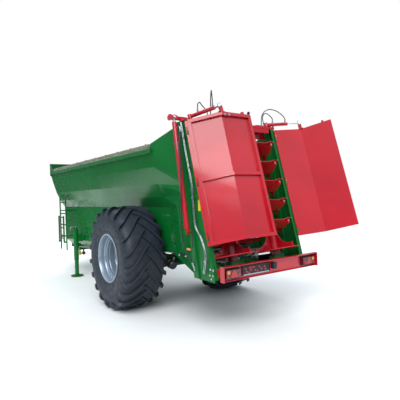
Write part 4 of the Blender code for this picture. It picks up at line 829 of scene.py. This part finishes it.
def stage():
    """A round pale floor that fades out at its rim, a soft sun and a dim sky for the reflections."""
    count = 96
    centre = (0.0, 4.5)
    ring = [(centre[0] + FLOOR_RADIUS * math.cos(2 * math.pi * i / count),
             centre[1] + FLOOR_RADIUS * math.sin(2 * math.pi * i / count),
             GROUND - 0.001) for i in range(count)]
    mesh = bpy.data.meshes.new("floor_sheet")
    mesh.from_pydata(ring, [], [list(range(count))])
    floor = bpy.data.objects.new("floor_sheet", mesh)
    bpy.context.scene.collection.objects.link(floor)
    s = Shader("pale_floor", Roughness=0.85, IOR=1.2)
    s.link("Base Color", s.mix(s.span(s.noise(0.6, 3.0), 0.3, 0.7), (0.80, 0.80, 0.80, 1), (0.84, 0.84,
            0.84, 1)))
    away = s.node("VectorMath", {0: s.coord, 1: (centre[0], centre[1], GROUND)}, operation="DISTANCE")
    s.link("Alpha", s.span(away.outputs["Value"], FLOOR_RADIUS * 0.75, FLOOR_RADIUS * 0.98, 1.0, 0.0))
    mesh.materials.append(s.mat)

    world = bpy.data.worlds.new("studio")
    world.use_nodes = True
    tree = world.node_tree
    nodes, links = tree.nodes, tree.links
    coord = nodes.new("ShaderNodeTexCoord")
    split = nodes.new("ShaderNodeSeparateXYZ")
    ramp = nodes.new("ShaderNodeValToRGB")
    spread = nodes.new("ShaderNodeMapRange")
    links.new(coord.outputs["Generated"], split.inputs[0])
    links.new(split.outputs["Z"], spread.inputs["Value"])
    spread.inputs["From Min"].default_value = -1.0
    links.new(spread.outputs["Result"], ramp.inputs["Fac"])
    stops = [(0.0, (0.22, 0.24, 0.25)), (0.49, (0.17, 0.20, 0.22)), (0.54, (0.30, 0.37, 0.41)),
             (0.72, (0.90, 1.02, 1.10)), (1.0, (1.30, 1.40, 1.50))]
    ramp.color_ramp.elements[0].position = stops[0][0]
    ramp.color_ramp.elements[0].color = stops[0][1] + (1,)
    ramp.color_ramp.elements[1].position = stops[-1][0]
    ramp.color_ramp.elements[1].color = stops[-1][1] + (1,)
    for place, colour in stops[1:-1]:
        ramp.color_ramp.elements.new(place).color = colour + (1,)
    sky = nodes["Background"]
    links.new(ramp.outputs["Color"], sky.inputs["Color"])
    sky.inputs["Strength"].default_value = 0.85
    plain = nodes.new("ShaderNodeBackground")
    plain.inputs["Color"].default_value = (1.0, 1.0, 1.0, 1.0)
    path = nodes.new("ShaderNodeLightPath")
    both = nodes.new("ShaderNodeMixShader")
    links.new(path.outputs["Is Camera Ray"], both.inputs["Fac"])
    links.new(sky.outputs[0], both.inputs[1])
    links.new(plain.outputs[0], both.inputs[2])
    links.new(both.outputs[0], nodes["World Output"].inputs["Surface"])
    bpy.context.scene.world = world
    for name, way, power, spread_angle in (("key", (0.55, 0.62, 0.80), 2.3, 45), ("fill", (-0.5, -0.6, 0.9),
            0.8, 60)):
        data = bpy.data.lights.new(name, "SUN")
        data.energy = power
        data.angle = math.radians(spread_angle)
        obj = bpy.data.objects.new(name, data)
        bpy.context.scene.collection.objects.link(obj)
        obj.matrix_world = Matrix.Translation((0, 0, 8)) @ turn_to(way)
    bpy.context.scene.view_settings.view_transform = "Standard"


camera()
stage()
dress_nodes()
door_hoses()
for side, name in SIDES:
    wheel(side, name)
    beater(side, name)
    door_details(side, name, 0.0 if side > 0 else DOOR_OPEN)
hopper_details()
light_details()
side_details()
underside_details()
ladder_details()
